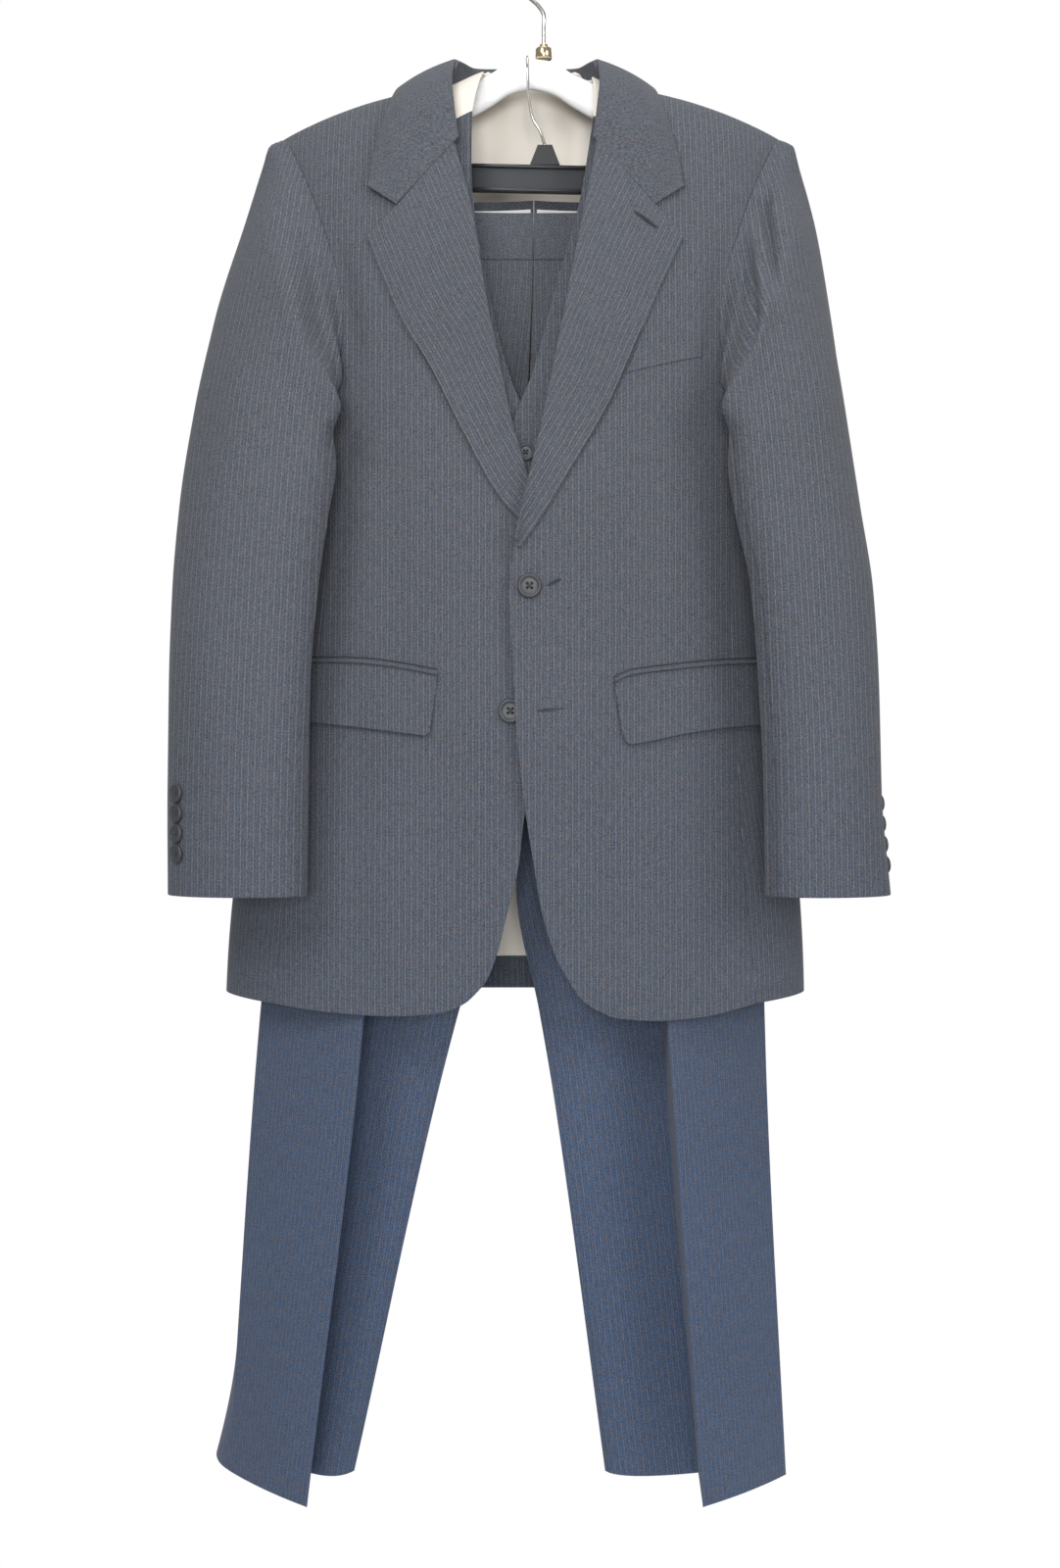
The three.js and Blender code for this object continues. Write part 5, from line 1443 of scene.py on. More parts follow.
@dataclass
class Lapels:
    """The two lapels, each rolled back on its front from the roll line to its free edge."""

    cloth: Cut = Cut(SUIT, 2.2, 1.0, "folded", ("front_left", "front_right"))
    clear: float = 0.6
    roll: float = 4.0
    gorge: Outline = ((70, -189.8), (84, -205.4), (104.5, -228.2))
    rise: float = 1.3
    curl: tuple[float, float] = (1.6, 2.6)
    roll_line: dict[Side, Outline] = both(
        [(-73.2, -176.6), (-58, -236), (-46.5, -306), (-28.5, -398), (-19, -432), (-8, -470),
         (-3, -500)],
        [(42.2, -176.6), (29.4, -245), (17.5, -306), (5.6, -369), (-8.6, -438), (-19, -484),
         (-23, -506)])
    free_edge: dict[Side, Outline] = both(
        [(-144.5, -253), (-133.8, -282), (-115.7, -324.4), (-91.2, -367.7), (-67.6, -415),
         (-41.6, -463), (-19.6, -490), (-7, -503)],
        [(113, -255), (104.9, -273), (89, -308.6), (71, -352), (50.5, -397.6), (15.9, -456.7),
         (-2.2, -486.6), (-20, -512)])

    def lapel(self, side: Side) -> None:
        """One lapel; its lift eases from the roll to the free edge, where it lies down."""
        free = self.free_edge[side]
        roll = [(side.out(self.curl[0], x), z) for x, z in self.roll_line[side]]
        gorge = Line([roll[0], *((side.out(reach, NECK_X), z) for reach, z in self.gorge), free[0]])
        edges = gorge, straight(roll[-1], free[-1]), Line(roll), Line(free)
        sheet = FORM.front.sheet(edges, -side.value, 3.0)
        u = np.linspace(0, 1, sheet.points.shape[1])
        w = FORM.front.unrolled(sheet.points[..., [0, 2]])[..., 1]
        held = smooth(-450, -370, w) if side is Side.LEFT else 1.0
        lift = smooth(-235, -185, w) * self.rise + held * self.roll * (1 - u) ** 2
        sheet = sheet.raised(lap_at(side, sheet.points[..., 0], w) + self.clear
                             + self.cloth.thickness + lift)
        rolled = sheet.flipped().turned_under(*self.curl).flipped()
        self.cloth.sew(f"lapel_{side.word}", rolled.cut_along(1.0), f"jacket_lapel_{side.word}")

    def build(self) -> None:
        """Make both lapels."""
        for side in Side:
            self.lapel(side)


@dataclass
class Pockets:
    """Two flapped hip pockets with their jets, and the chest welt."""

    flap_cloth: Cut = Cut(SUIT, 2.0, 0.8, "hung", ("front_left", "front_right"))
    welt_cloth: Cut = Cut(SUIT, 1.6, 0.6, "stretched", ("front_right",))
    top: dict[Side, Outline] = both(
        [(-86, -612.5), (-119, -606), (-151, -602), (-192, -600.3)],
        [(55.5, -619), (70, -612.5), (103.3, -607.5), (137, -603.5), (178, -600)])
    bottom: dict[Side, Outline] = both(
        [(-96, -661.4), (-119, -658.3), (-151, -654.3), (-195, -649.3)],
        [(68.5, -668.5), (86, -665.4), (119.6, -658.3), (154, -653.6), (182, -651)])
    inner: dict[Side, Outline] = both(
        [(-86, -612.5), (-90, -645), (-92, -657.5), (-96, -661.4)],
        [(55.5, -619), (60.5, -650), (63.5, -664), (68.5, -668.5)])
    welt: Outline = ((66, -368.2), (92, -361.2), (128, -352.4))

    @staticmethod
    def panel_height(side: Side, x: Array, z: Array) -> Array:
        """How far the front stands out from its form at (x, z)."""
        return lap_at(side, x, z) + relief(JACKET_BODY.folds[side], x, z)

    def laid(self, side: Side, top: Outline, bottom: Outline, rise: tuple[float, float],
             cell: float, inner: Curve | None = None) -> Sheet:
        """A small piece laid on a front, raised from its panel.

        Args:
            side: which front.
            top: its upper edge.
            bottom: its lower edge.
            rise: its height above the panel, at its top and bottom.
            cell: the grid's spacing.
            inner: its inner edge, where that isn't straight.

        Returns:
            The sheet with its grain.
        """
        ends = inner or straight(top[0], bottom[0]), straight(top[-1], bottom[-1])
        sheet = FORM.front.sheet((Line(top), Line(bottom), *ends), -side.value, cell, 1.0)
        v = np.linspace(0, 1, sheet.points.shape[0])[:, None]
        x, z = sheet.points[..., 0], sheet.points[..., 2]
        sheet = sheet.raised(mix(*rise, v) + self.panel_height(side, x, z))
        sheet.grain = FORM.front.grain(sheet.points)
        return sheet

    def flap(self, side: Side) -> None:
        """A flap, the jet above it and the dark ditches along the jet: ditch stitching that also
        stands in as painted shadow in the gaps above and below the jet.

        Args:
            side: which front.
        """
        top, word = self.top[side], side.word
        flap = self.laid(side, top, self.bottom[side], (2.6, 4.3), 2.5, Line(self.inner[side]))
        self.flap_cloth.sew(f"flap_{word}", flap, f"jacket_flap_{word}")
        over, under = ([(x, z + up) for x, z in top] for up in (4.4, -0.2))
        jet = self.laid(side, over, under, (0.7, 2.9), 1.6)
        add(f"jet_{word}", jet.shell(1.2, 0.5), SUIT_PLAIN, (f"jacket_jet_{word}",))
        # Dark tubes along the jet's top and bottom: ditch stitching, and also painted shadow of the
        # gaps.
        for name, up, high in (("above", 4.9, 1.2), ("below", 0.1, 4.6)):
            x, z = Line([(a, b + up) for a, b in top])(np.linspace(0, 1, 60)).T
            path = FORM.front.point(x, z) - spread(0, high + self.panel_height(side, x, z), 0)
            add(f"jet_ditch_{name}_{word}", Solid.tube(path, 0.5, 8, (0, -1, 0)), DITCH_THREAD_AND_PAINTED_SHADOW)

    def chest_welt(self) -> None:
        """The slanting welt of the chest pocket."""
        low = self.welt
        high = [(low[0][0] + 8, low[0][1] + 20), (98, -341.5), (low[2][0] + 0.5, low[2][1] + 18)]
        welt = self.laid(Side.RIGHT, high, low, (1.5, 1.0), 2.0)
        self.welt_cloth.sew("chest_welt", welt, "jacket_chest_welt")

    def build(self) -> None:
        """Make the pockets."""
        for side in Side:
            self.flap(side)
        self.chest_welt()


# ---- the vest


@dataclass
class Vest:
    """The vest under the jacket: worsted fronts, satin back and sides, straps over the hanger."""

    cloth: Cut = Cut(SUIT, 1.6, 0.6)
    satin: Cut = Cut(SATIN, 1.6, 0.5)
    rings: Table = Table("z middle half front back", [
        (-90, -10.5, 205, 63, 48), (-150, -10.5, 205, 65, 50), (-290, -10.5, 197, 73, 63),
        (-395, -11, 193, 76, 68), (-480, -12, 189, 77, 70), (-600, -16, 197, 77, 71),
        (-720, -21, 213, 77, 72)])
    crest_row: Table = Table("reach height", [
        (0, -62), (20, -75), (34, -93), (45, -97.5), (52, -100.5), (60, -104.3), (67, -107.2),
        (80, -110.4), (92, -113.1), (105, -116.9), (120, -121.2), (160, -134), (215, -157)])
    seam: Table = Table("z reach", [(-400, 172), (-520, 168), (-668, 176)])
    strap: dict[Side, tuple[float, float]] = both((-51, -128), (41, 107))
    edge: dict[Side, Outline] = both(
        [(-58, -130), (-60, -160), (-57.4, -229), (-40.6, -323), (-23, -383), (-4, -415),
         (4, -470), (4, -660), (-10, -698)],
        [(42, -130), (39, -160), (27.6, -229), (8.4, -299), (-8.5, -363), (-20, -392),
         (-31, -425), (-33, -470), (-33, -660), (-20, -698)])
    armhole: Outline = ((116, -160), (118, -230), (132, -300), (158, -360))
    hem: float = -668.0
    hem_points: Outline = ((48, -702), (110, -684))
    yoke: float = 0.075
    lap: float = 2.8

    def crest(self, x: Array) -> Array:
        """Height of the vest's shoulder, where it lies on the hanger."""
        return self.crest_row(np.abs(x - SHOULDER_X)).height

    @cached_property
    def faces(self) -> tuple[Face, Face]:
        """The vest's front and back faces."""
        return (Face(self.rings, "front", -1, *FRONT_TOP, self.crest),
                Face(self.rings, "back", 1, *BACK_TOP, self.crest))

    def seam_points(self, side: Side, over: float) -> list[tuple[float, float]]:
        """Points down a side seam, ``over`` further round than the front's."""
        z = mix(-400.0, self.hem, np.arange(8) / 7)
        return list(zip(side.out(self.seam(z).reach + over, self.rings(z).middle), z))

    def arm_points(self, side: Side, over: float) -> list[tuple[float, float]]:
        """Points down an armhole, ``over`` further out than the front's."""
        return [(side.out(reach + over, SHOULDER_X), z) for reach, z in self.armhole]

    def front(self, side: Side) -> None:
        """A front with its neck edge, its armhole and the pointed hem."""
        neck, arm = self.strap[side]
        face = self.faces[0]

        def top(t: Array) -> Array:
            """The shoulder seam."""
            x = mix(neck, arm, np.asarray(t, float))
            return spread(x, self.crest(x))

        seam = self.seam_points(side, 0)
        inner = Line([tuple(top(0.0)), *self.edge[side]])
        outer = Line([tuple(top(1.0)), *self.arm_points(side, 0), *seam])
        points = ((side.out(reach, NECK_X), z) for reach, z in self.hem_points)
        hem = Line([self.edge[side][-1], *points, seam[-1]])
        edges = top, hem, inner, outer
        sheet = face.sheet(edges, -side.value, 4.6, part=(self.yoke, 1))
        x, z = sheet.points[..., 0], sheet.points[..., 2]
        lap = (side is Side.RIGHT) * self.lap * (1 - smooth(22, 72, x)) * smooth(-340, -385, z)
        sheet = sheet.raised(lap)
        sheet.grain = face.grain(sheet.points)
        self.cloth.sew(f"vest_front_panel_{side.word}", sheet, f"vest_front_{side.word}")
        strap = face.sheet(edges, -side.value, 4.0, part=(0, self.yoke))
        self.satin.sew(f"vest_strap_{side.word}", strap.cut_along(0.5))

    def back(self) -> None:
        """The satin back, from one side seam to the other."""
        face = self.faces[1]

        def shoulder(side: Side) -> list[tuple[float, float]]:
            """The shoulder seam from the neck to the armhole."""
            x = mix(*self.strap[side], np.array([0, 0.5, 1]))
            return list(zip(x, self.crest(x)))

        def outer(side: Side) -> Line:
            """The armhole and the side seam."""
            return Line([shoulder(side)[2], *self.arm_points(side, 6), *self.seam_points(side, 4)])

        neck = [(-38, -91), (-15.2, -88), (14, -90)]
        top = Line([*shoulder(Side.LEFT)[::-1], *neck, *shoulder(Side.RIGHT)])
        left, right = outer(Side.LEFT), outer(Side.RIGHT)
        hem = Line([tuple(left(1.0)), (-120, -670), (NECK_X, -674), (88, -670), tuple(right(1.0))])
        sheet = face.sheet((top, hem, left, right), 1, 6.5)
        folds = [Fold((-60, -250), (-40, -640), 12, 1.5), Fold((30, -260), (14, -640), 14, 1.5)]
        x, z = sheet.points[..., 0], sheet.points[..., 2]
        sheet = sheet.raised(relief(folds, x, z)).cut_along(0.5)
        self.satin.sew("vest_back_panel", sheet, "vest_back")

    def side_panel(self, side: Side) -> None:
        """The satin strip under an arm, on the ring's rounded section."""

        def surface(u: Array, v: Array) -> Array:
            """Points between the two seams."""
            z = mix(-402.0, self.hem, v)
            reach = self.seam(z).reach
            return around(self.rings(z), (reach, reach + 4), side, u, z)

        sheet = Sheet.over(surface, -side.value, 5.0).cut_along(0.5)
        self.satin.sew(f"vest_side_panel_{side.word}", sheet, f"vest_side_{side.word}")

    def build(self) -> None:
        """Make the vest."""
        for side in Side:
            self.front(side)
            self.side_panel(side)
        self.back()


# ---- the trousers


@dataclass
class Trousers:
    """The trousers, hung from the bar hanger's clips: two legs with sharp creases, a waistband
    that sags between the clips, and its white lining."""

    cloth: Cut = Cut(TROUSER, 1.4, 0.5, "hung", ("clip_left", "clip_right"))
    band: Cut = Cut(BAND, 2.0, 0.8, "hung", ("clip_left", "clip_right"))
    lining: Cut = Cut(COTTON, 0.8, 0.3, "hung", ("clip_left", "clip_right"))
    columns: str = ("z outerX outerY creaseX creaseY foldX foldY bulgeX bulgeY innerX innerY "
                    "backX backY seatY")
    rows: dict[Side, Rows] = both((
            (-209, -182, -18, -95, -30, -88, -30.5, -45, -33, -8.9, -34, -95, -8, -3),
            (-264, -182, -16, -96, -34, -90, -34.5, -48, -37, -9.3, -38, -96, 2, 6),
            (-390, -183, -4, -108, -48, -104, -47, -60, -46, -13.7, -42, -110, 34, 30),
            (-505, -189, 0, -122, -55, -119, -50, -70, -44, -16, -12, -124, 48, -10.4),
            (-650, -206, 0, -132, -58, -131, -40, -75, -42, -18.2, -16, -136, 50, -14.4),
            (-790, -228, 0, -141, -67, -143, -22, -84, -38, -37, -18, -148, 56, -16.4),
            (-890, -241, 0, -147, -73, -151, -12, -102, -34, -71, -20, -158, 64, -18.4),
            (-1284, -268, 0, -192, -81, -199, -5, -173, -23, -161, 0, -286, 61, 1.6)), (
            (-209, 165, -18, 78, -30, 71, -30.5, 28, -33, -8.1, -34, 78, -8, -3),
            (-264, 165, -16, 79, -34, 73, -34.5, 31, -37, -8.5, -38, 79, 2, 6),
            (-390, 162, -4, 82, -48, 78, -47, 36, -46, -12.3, -42, 84, 34, 30),
            (-505, 167, 0, 88, -55, 85, -50, 40, -44, -14, -12, 90, 48, -10.4),
            (-650, 177, 0, 92, -58, 91, -40, 42, -42, -11.8, -16, 92, 50, -14.4),
            (-790, 185, 0, 96, -67, 96, -22, 30, -38, -23, -18, 92, 56, -16.4),
            (-890, 188, 0, 100, -73, 99, -12, 33, -34, -4.3, -20, 94, 64, -18.4),
            (-965, 190, -2, 105, -75, 104, -9, 39, -32, 8.5, -20, 98, 68, -18.4),
            (-1284, 205, -9, 128, -81, 131, -5, 62, -23, 52, 0, 125, 50, 1.6)))
    hem: float = -1284.0
    waist: float = -212.0
    deep: float = 40.0
    middle: float = -8.5
    crease: float = 0.45
    fold: float = 0.62
    seam: float = 0.4
    bows: tuple[float, float] = (3.0, 6.0)
    sags: tuple[float, float] = (13.0, -7.0)

    def sag(self, x: Array, most: float) -> Array:
        """How far the waist hangs below the clips at x."""
        return most * (1 - np.minimum(1, ((x - self.middle) / 160) ** 2))

    @staticmethod
    def bow(a: Array, b: Array, t: Array, out: float) -> Array:
        """A shallow bow from a to b that stands out by a distance in its middle.

        Args:
            a: where it starts.
            b: where it ends.
            t: shares of the way along.
            out: how far its middle stands out.

        Returns:
            The points.
        """
        along = b - a
        swell = (4 * out * t * (1 - t))[..., None]
        return mix(a, b, t[..., None]) + swell * unit(spread(along[..., 1], -along[..., 0]))

    def section(self, side: Side, z: Array) -> dict[str, Array]:
        """The named points (x, y) of a leg's section at each height."""
        row = Table(self.columns, self.rows[side])(z)
        points = {name: spread(getattr(row, name + "X"), getattr(row, name + "Y"))
                  for name in ("outer", "crease", "fold", "bulge", "inner", "back")}
        points["seat"] = spread(row.innerX, np.maximum(row.seatY, row.innerY + self.seam))
        points["behind"] = spread(row.outerX, row.outerY + self.seam)
        return points

    def front_shape(self, side: Side, u: Array, z: Array) -> Array:
        """A leg's front from the outer seam over the crease to the inner seam: a bow, the
        panel's turn behind the crease, and a bulge to the seam."""
        p = self.section(side, z)
        one = self.bow(p["outer"], p["crease"], np.clip(u / self.crease, 0, 1),
                       -side.value * self.bows[0])
        t = np.clip((u - self.crease) / (self.fold - self.crease), 0, 1)[..., None]
        two = mix(p["crease"], p["fold"], t)
        t = np.clip((u - self.fold) / (1 - self.fold), 0, 1)[..., None]
        three = (1 - t) ** 2 * p["fold"] + 2 * t * (1 - t) * p["bulge"] + t * t * p["inner"]
        rest = np.where((u <= self.fold)[..., None], two, three)
        return np.where((u <= self.crease)[..., None], one, rest)

    def back_shape(self, side: Side, u: Array, z: Array) -> Array:
        """A leg's back from the inner seam over the back crease to the outer seam."""
        p = self.section(side, z)
        out = -side.value * self.bows[1]
        one = self.bow(p["seat"], p["back"], np.clip(u / 0.5, 0, 1), out)
        two = self.bow(p["back"], p["behind"], np.clip((u - 0.5) / 0.5, 0, 1), out)
        return np.where((u <= 0.5)[..., None], one, two)

    def hung(self, side: Side, shape: Callable, most: float, top: float, low: Any,
             between: tuple[float, float] = (0.0, 1.0)) -> Surface:
        """A surface from a height below the waist down to another, following a leg's shape.

        Args:
            side: which side.
            shape: the leg's front or back.
            most: how far its top sags between the clips.
            top: where it starts.
            low: how far down it runs, or None for the hem.
            between: which part of the way round it covers.

        Returns:
            The surface.
        """

        def surface(u: Array, v: Array) -> Array:
            """Points at shares u round and v down."""
            share = mix(*between, u)
            drop = self.sag(shape(side, share, np.full(u.shape, self.waist))[..., 0], most)
            start = top - drop
            z = mix(start, self.hem if low is None else start - low, v)
            return np.concatenate([shape(side, share, z), z[..., None]], -1)

        return surface

    def build(self) -> None:
        """Make both legs, the waistband and its lining."""
        below = self.waist - self.deep
        creases = (self.crease, self.fold), (0.5,)
        halves = list(zip(("front", "back"), (self.front_shape, self.back_shape), self.sags,
                          creases))
        for side in Side:
            for name, shape, most, keep in halves:
                word = f"{name}_{side.word}"
                leg = Sheet.over(self.hung(side, shape, most, below, None), side.value, 5.6, 1.2,
                                 keep)
                column = float(np.argmin(np.abs(leg.u[0] - keep[0])) / (leg.u.shape[1] - 1))
                self.cloth.sew("leg_" + word, leg.cut_along(column), "trouser_" + word)
                band = self.hung(side, shape, most, self.waist, self.deep)
                band = Sheet.over(band, side.value, 4.0, 1.2, keep).raised(0.5).cut_along(column)
                self.band.sew("band_" + word, band, "waistband_" + word)
            inside = self.hung(side, self.back_shape, self.sags[1], self.waist - 7.5, 30.0,
                               (0.01, 0.6))
            lining = Sheet.over(inside, side.value, 4.0, 1.0).raised(-2.4).cut_along(0.5)
            self.lining.sew(f"band_lining_{side.word}", lining, f"waistband_lining_{side.word}")


# ---- buttons and buttonholes


@dataclass(frozen=True)
class Button:
    """A four-holed button with a raised rim, sewn with crossed thread."""

    radius: float
    thickness: float
    sides: int = 48
    hole: float = 0.17
    pit: float = 0.45
    rim_rows: int = 10

    def solid(self) -> Solid:
        """The button along +z: a profile turned round its axis, dished inside the rim and
        pierced by four deep pits."""
        r, t = self.radius, self.thickness
        profile = np.array([
            (0.02, 0), (0.6, 0), (0.84, 0.03), (0.94, 0.16), (1, 0.42), (0.995, 0.66), (0.95, 0.88),
            (0.88, 0.985), (0.8, 0.96), (0.74, 0.84), (0.69, 0.72), (0.6, 0.66), (0.5, 0.64),
            (0.42, 0.63), (0.36, 0.62), (0.3, 0.62), (0.24, 0.61), (0.18, 0.61), (0.12, 0.6),
            (0.06, 0.6), (0.02, 0.6)])
        radius = profile[:, 0, None] * r
        x, y = radius * np.cos(circle(self.sides)), radius * np.sin(circle(self.sides))
        reach = self.hole * r
        pits = sum(np.exp(-(((x - a * reach) ** 2 + (y - b * reach) ** 2) / (reach / 2) ** 2) ** 2)
                   for a in (-1, 1) for b in (-1, 1))
        dished = np.arange(len(profile))[:, None] >= self.rim_rows
        return Solid.lofted(spread(x, y, profile[:, 1, None] * t - self.pit * t * pits * dished))

    def thread(self) -> Solid:
        """Two crossed bars of thread over the holes."""
        t = np.linspace(-1, 1, 9)
        bars = []
        for sign in (-1, 1):
            reach = self.hole * self.radius * t
            path = spread(reach, sign * reach, self.thickness * (0.66 - 0.3 * t**4))
            bars.append(Solid.tube(path, 0.055 * self.radius, 8, (0, 0, 1)))
        return bars[0].joined(bars[1])

    def sew(self, name: str, point: Array, outward: Array, node: str) -> None:
        """Place the button and its thread with its back at a point.

        Args:
            name: the piece's name.
            point: the middle of its back.
            outward: the way it faces.
            node: the CAD node that it stands for.
        """
        z = unit(outward)
        x = unit(np.cross([0.0, 0.0, 1.0], z))
        axes = np.stack([x, np.cross(z, x), z])
        add(name, self.solid().moved(axes, point), BUTTON, (node,))
        add(f"{name}_thread", self.thread().moved(axes, point), SEWING)


@dataclass
class Buttons:
    """Every button of the suit, each where its CAD node is."""

    front: Button = Button(9.8, 3.6)
    sleeve: Button = Button(7.6, 3.0, 36)
    vest: Button = Button(7.0, 2.6, 36)

    @staticmethod
    def middle(node: str) -> Array:
        """The middle of a CAD node's box, in millimetres."""
        low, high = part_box(node)
        return (np.array(low) + np.array(high)) / 2 / MM

    @staticmethod
    def facing(node: str) -> Array:
        """The way a CAD button faces: the direction in which its vertices spread least."""
        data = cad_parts[node].data
        points = np.zeros(3 * len(data.vertices))
        data.vertices.foreach_get("co", points)
        points = points.reshape(-1, 3)
        return np.linalg.svd(points - points.mean(0), full_matrices=False)[2][2]

    def one(self, name: str, node: str, kind: Button, hint: Sequence[float]) -> None:
        """Place one button on its node, facing along the hint.

        Args:
            name: the piece's name.
            node: its CAD node.
            kind: which button.
            hint: roughly the way it faces.
        """
        out = self.facing(node)
        out = out if out @ np.array(hint) > 0 else -out
        kind.sew(name, self.middle(node) - out * kind.thickness / 2, out, node)

    def build(self) -> None:
        """Make every button."""
        for word in ("top", "low"):
            self.one(f"button_{word}", f"jacket_button_{word}", self.front, (0, -1, 0))
        for side in Side:
            for k in range(1, 5):
                word = f"sleeve_button_{side.word}_{k}"
                self.one(word, "jacket_" + word, self.sleeve, (side.value, -0.6, 0))
        for k in range(1, 6):
            self.one(f"vest_button_piece_{k}", f"vest_button_{k}", self.vest, (0, -1, 0))


@dataclass
class Buttonholes:
    """Worked buttonholes: a slit between two corded edges, with a rounded eye."""

    places: tuple[tuple[str, tuple[float, float], tuple[float, float], float], ...] = (
        ("lapel", (72.5, -236.5), (90.5, -249.0), 4.6),
        ("front_top", (2.5, -541.0), (12.5, -536.0), 8.5),
        ("front_low", (-5.5, -641.5), (16.5, -639.5), 8.2))
    cord: float = 0.6
    eye: float = 0.75

    def build(self) -> None:
        """Make the three buttonholes of the right front."""
        for name, start, end, height in self.places:
            t = np.linspace(0, 1, 26)
            x, z = mix(start[0], end[0], t), mix(start[1], end[1], t)
            middle = FORM.front.point(x, z)
            out = FORM.front.normal(float(x.mean()), float(z.mean()))
            beside = np.cross(out, unit(middle[-1] - middle[0]))
            bow = (self.eye * np.sin(np.pi * t) ** 0.5)[:, None]
            cords = [Solid.tube(middle + out * height + sign * beside * bow, self.cord, 8, out)
                     for sign in (-1, 1)]
            add(f"buttonhole_{name}", cords[0].joined(cords[1]), SEWING)


# ---- the hangers


@dataclass
class SuitHanger:
    """The contoured white hanger with its ferrule and wire hook."""

    rows: Table = Table("reach top under wide", [
        (0, -83.5, -109.5, 12), (18, -86, -114, 12), (34, -96, -124, 11), (52, -104.6, -134, 11),
        (67, -112, -140, 11.5), (80, -116.4, -144, 13), (105, -123.6, -151, 16),
        (130, -131, -158, 20), (160, -142, -166, 20), (185, -155, -172, 18)])
    reach: float = 185.0
    wire: float = 3.5
    loop: float = 19.0
    stem: Rows = ((0, 0, -71.5), (0, 0, -56), (0, 0, -46), (-5.5, 0, -37.5))

    def body(self) -> None:
        """The arms: rounded sections whose height and width follow the table, with softly
        closed ends."""
        way = np.concatenate([[-1, -0.998, -0.99], np.linspace(-0.97, 0.97, 150), [0.99, 0.998, 1]])
        row = self.rows(self.reach * np.abs(way))
        past = np.maximum(0, np.abs(way) - 0.97) / 0.0302
        soft = np.sqrt(np.clip(1 - past**2, 0.02, 1))
        middle, high = (row.top + row.under) / 2, (row.top - row.under) / 2 * soft
        c, s = (np.sign(q) * np.abs(q) ** 0.9 for q in (np.cos(circle(40)), np.sin(circle(40))))
        rings = spread((SHOULDER_X + self.reach * way)[:, None], (row.wide * soft)[:, None] / 2 * c,
                       middle[:, None] + high[:, None] * s)
        add("suit_hanger", Solid.lofted(rings), WHITE, ("hanger_body",))

    def hook(self) -> None:
        """The ferrule and the hook: a stem, a bend and most of a circle of wire."""
        profile = np.array([
            (0.3, -83.6), (6.6, -83.6), (7, -83), (7, -76), (6.6, -75.2), (5.4, -74.8),
            (3.9, -74.6), (3.7, -73), (3.3, -71.6), (2.2, -71), (0.3, -70.9)])
        add("hook_ferrule", Solid.turned(profile, 40), BRASS, ("hanger_ferrule",))
        middle = self.wire / 2 - self.loop
        angle = np.radians(np.arange(218, -31, -20))
        bend = spread(self.loop * np.cos(angle), 0, middle + self.loop * np.sin(angle))
        path = Line([*self.stem, *bend], Ends.LED)
        t = np.linspace(0, 1, 150)
        past = np.maximum(0, t - 0.992) / 0.0081
        radius = self.wire / 2 * np.sqrt(np.clip(1 - past**2, 0.03, 1))
        add("hook_wire", Solid.tube(path(t), radius, 20, (0, 1, 0)), CHROME, ("hanger_hook",))

    def build(self) -> None:
        """Make the suit hanger."""
        self.body()
        self.hook()


@dataclass
class BarHanger:
    """The black bar with its boss, its wire hook and two clips."""

    y: float = -20.0
    left: float = -172.0
    right: float = 152.0
    top: float = -181.0
    slope: float = 1.2
    middle: float = -8.5
    hook: Rows = (
        (0.8, -20, -164.4), (-3, -20, -152), (-8.6, -18, -142), (-12.6, -13.5, -122),
        (-13.6, -10.2, -104), (-14, -8.6, -92), (-14, -5.4, -84.9), (-14, 0, -82.2),
        (-14, 5.4, -84.9), (-14, 8.6, -92), (-14, 10, -102))

    def top_at(self, x: float) -> float:
        """Height of the bar's top at x; the bar hangs a little out of level."""
        return self.top - math.tan(math.radians(self.slope)) * (x - self.middle)

    def bar(self) -> None:
        """The bar: a web between two flanges, each a bevelled strip; the web is a lighter grey than
        the black flanges, painted light on its face.
        """
        strips = (("web", 2.6, -2.3, -20.2, PAINTED_LIGHT_BLACK), ("flange_top", 8.0, 0.0, -2.8, BLACK),
                  ("flange_low", 8.0, -19.7, -22.5, BLACK))
        length = self.right - self.left
        slope = math.radians(self.slope)
        axes = np.array([(math.cos(slope), 0, -math.sin(slope)), (0, 1, 0),
                         (math.sin(slope), 0, math.cos(slope))])
        point = np.array([self.left, self.y, self.top_at(self.left)])
        for name, deep, high, low, finish in strips:
            solid = Solid.prism(self.rounded(deep, high, low, 0.7), length).moved(axes, point)
            add(f"bar_{name}", solid, finish, ("clip_hanger_bar",))

    @staticmethod
    def rounded(deep: float, high: float, low: float, radius: float) -> Array:
        """A rectangle in (y, z) with rounded corners, drawn anticlockwise seen from -x.

        Args:
            deep: its size along y.
            high: its top.
            low: its bottom.
            radius: the corners' radius.

        Returns:
            The outline.
        """
        corners = ((deep / 2, high), (-deep / 2, high), (-deep / 2, low), (deep / 2, low))
        turn = np.radians(np.linspace(0, 90, 5))
        out = []
        for k, (y, z) in enumerate(corners):
            a = turn + k * np.pi / 2
            cy, cz = y - math.copysign(radius, y), (z - radius if k < 2 else z + radius)
            out.append(spread(cy + radius * np.cos(a), cz + radius * np.sin(a)))
        return np.vstack(out)

    def build(self) -> None:
        """Make the bar, and finish the boss, the hook and the clips in place."""
        self.bar()
        path = Line(self.hook, Ends.LED)
        t = np.linspace(0, 1, 120)
        add("bar_hook", Solid.tube(path(t), 1.25, 16, (1, 0, 0)), CHROME, ("clip_hanger_hook",))
        for node in ("clip_hanger_boss", "clip_left", "clip_right"):
            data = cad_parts[node].data
            data.materials.clear()
            data.materials.append(BLACK.material())


# ---- studio


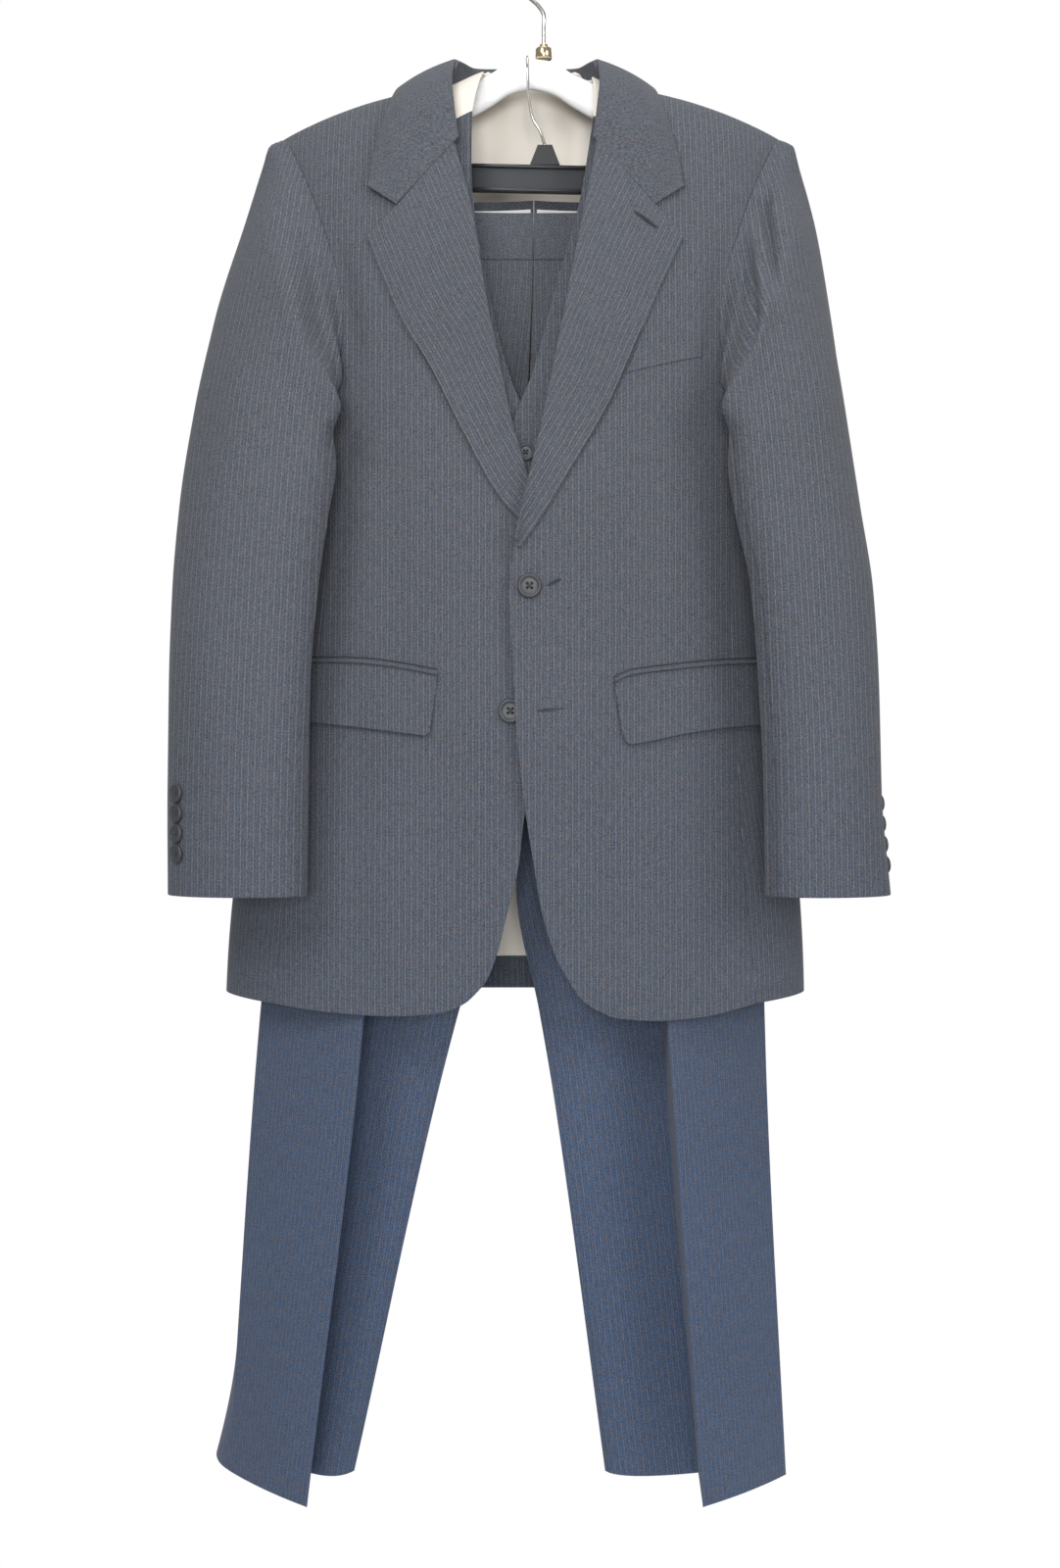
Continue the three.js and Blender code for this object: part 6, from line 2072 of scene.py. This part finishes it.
@dataclass
class Studio:
    """The camera, the lights, the pale floor and the white surroundings."""

    floor: float = -1.85
    reach: float = 1.12
    eye: tuple[float, float, float] = (-0.0117, -1.6, -0.7)
    lens: float = 43.2
    sensor: float = 36.0
    aim: tuple[float, float, float] = (0.0, 0.0, -0.65)
    lamps: tuple[tuple[str, tuple[float, float, float], float, float], ...] = (
        ("front", (-0.1, -3.4, -0.55), 0.9, 52), ("key", (-1.2, -2.4, 1.1), 1.2, 34),
        ("fill", (2.0, -2.2, 0.3), 1.4, 30), ("top", (0.0, -0.4, 1.6), 1.6, 14),
        ("behind", (0.4, 2.6, 0.3), 2.0, 26))
    sky: tuple[float, float] = (0.35, 1.0)

    def camera(self) -> None:
        """A level camera in front of the suit, a little to the left of its middle."""
        data = bpy.data.cameras.new("camera")
        data.sensor_fit = "VERTICAL"
        data.sensor_height = self.sensor
        data.lens = self.lens
        made = bpy.data.objects.new("camera", data)
        made.location = self.eye
        made.rotation_euler = (math.radians(90), 0, 0)
        bpy.context.scene.collection.objects.link(made)
        bpy.context.scene.camera = made

    def lamp(self, name: str, place: Sequence[float], size: float, power: float) -> None:
        """A square soft light aimed at the middle of the suit.

        Args:
            name: the lamp's name.
            place: where it stands.
            size: how wide it is.
            power: its power in watts.
        """
        data = bpy.data.lights.new(name, "AREA")
        data.size, data.energy = size, power
        made = bpy.data.objects.new(name, data)
        made.location = place
        aim = Vector(self.aim) - Vector(place)
        made.rotation_euler = aim.to_track_quat("-Z", "Y").to_euler()
        bpy.context.scene.collection.objects.link(made)

    def stage(self) -> None:
        """A round pale floor under the suit and a white world."""
        radius, height = np.linspace(0.02, 1, 12) * self.reach / MM, self.floor / MM
        profile = np.vstack([spread(radius, height - 4.0), spread(radius, height)[::-1]])
        piece = bpy.data.objects.new("floor", Solid.turned(profile, 96).mesh("floor"))
        pale = moulded("pale floor", "white_plastic", (0.8, 0.8, 0.8), 0.6)
        piece.data.materials.append(pale.material())
        bpy.context.scene.collection.objects.link(piece)
        world = bpy.data.worlds.new("white")
        bpy.context.scene.world = world
        world.use_nodes = True
        world.node_tree.nodes.clear()
        graph = Graph(world.node_tree)
        seen = graph.node("LightPath").outputs["Is Camera Ray"]
        low, high = self.sky
        strength = graph.node("MapRange", {"Value": seen, "To Min": low, "To Max": high})
        sky = graph.node("Background",
                         {"Color": (1, 1, 1, 1), "Strength": strength.outputs["Result"]})
        graph.node("OutputWorld", {"Surface": sky.outputs[0]})

    def build(self) -> None:
        """Set up the whole studio."""
        self.camera()
        bpy.context.scene.view_settings.view_transform = "Standard"
        for lamp in self.lamps:
            self.lamp(*lamp)
        self.stage()


JACKET_BODY = JacketBody()


def main() -> None:
    """Build the studio and then every piece in order, logging each as it is built."""
    logging.basicConfig(level=logging.INFO, format="%(name)s %(message)s")
    for part in (Studio(), SuitHanger(), BarHanger(), JACKET_BODY, *(Sleeve(side) for side in Side),
                 Collar(), Lapels(), Pockets(), Vest(), Trousers(), Buttons(), Buttonholes()):
        LOG.info("building %s", type(part).__name__)
        part.build()


if __name__ == "__main__":
    main()
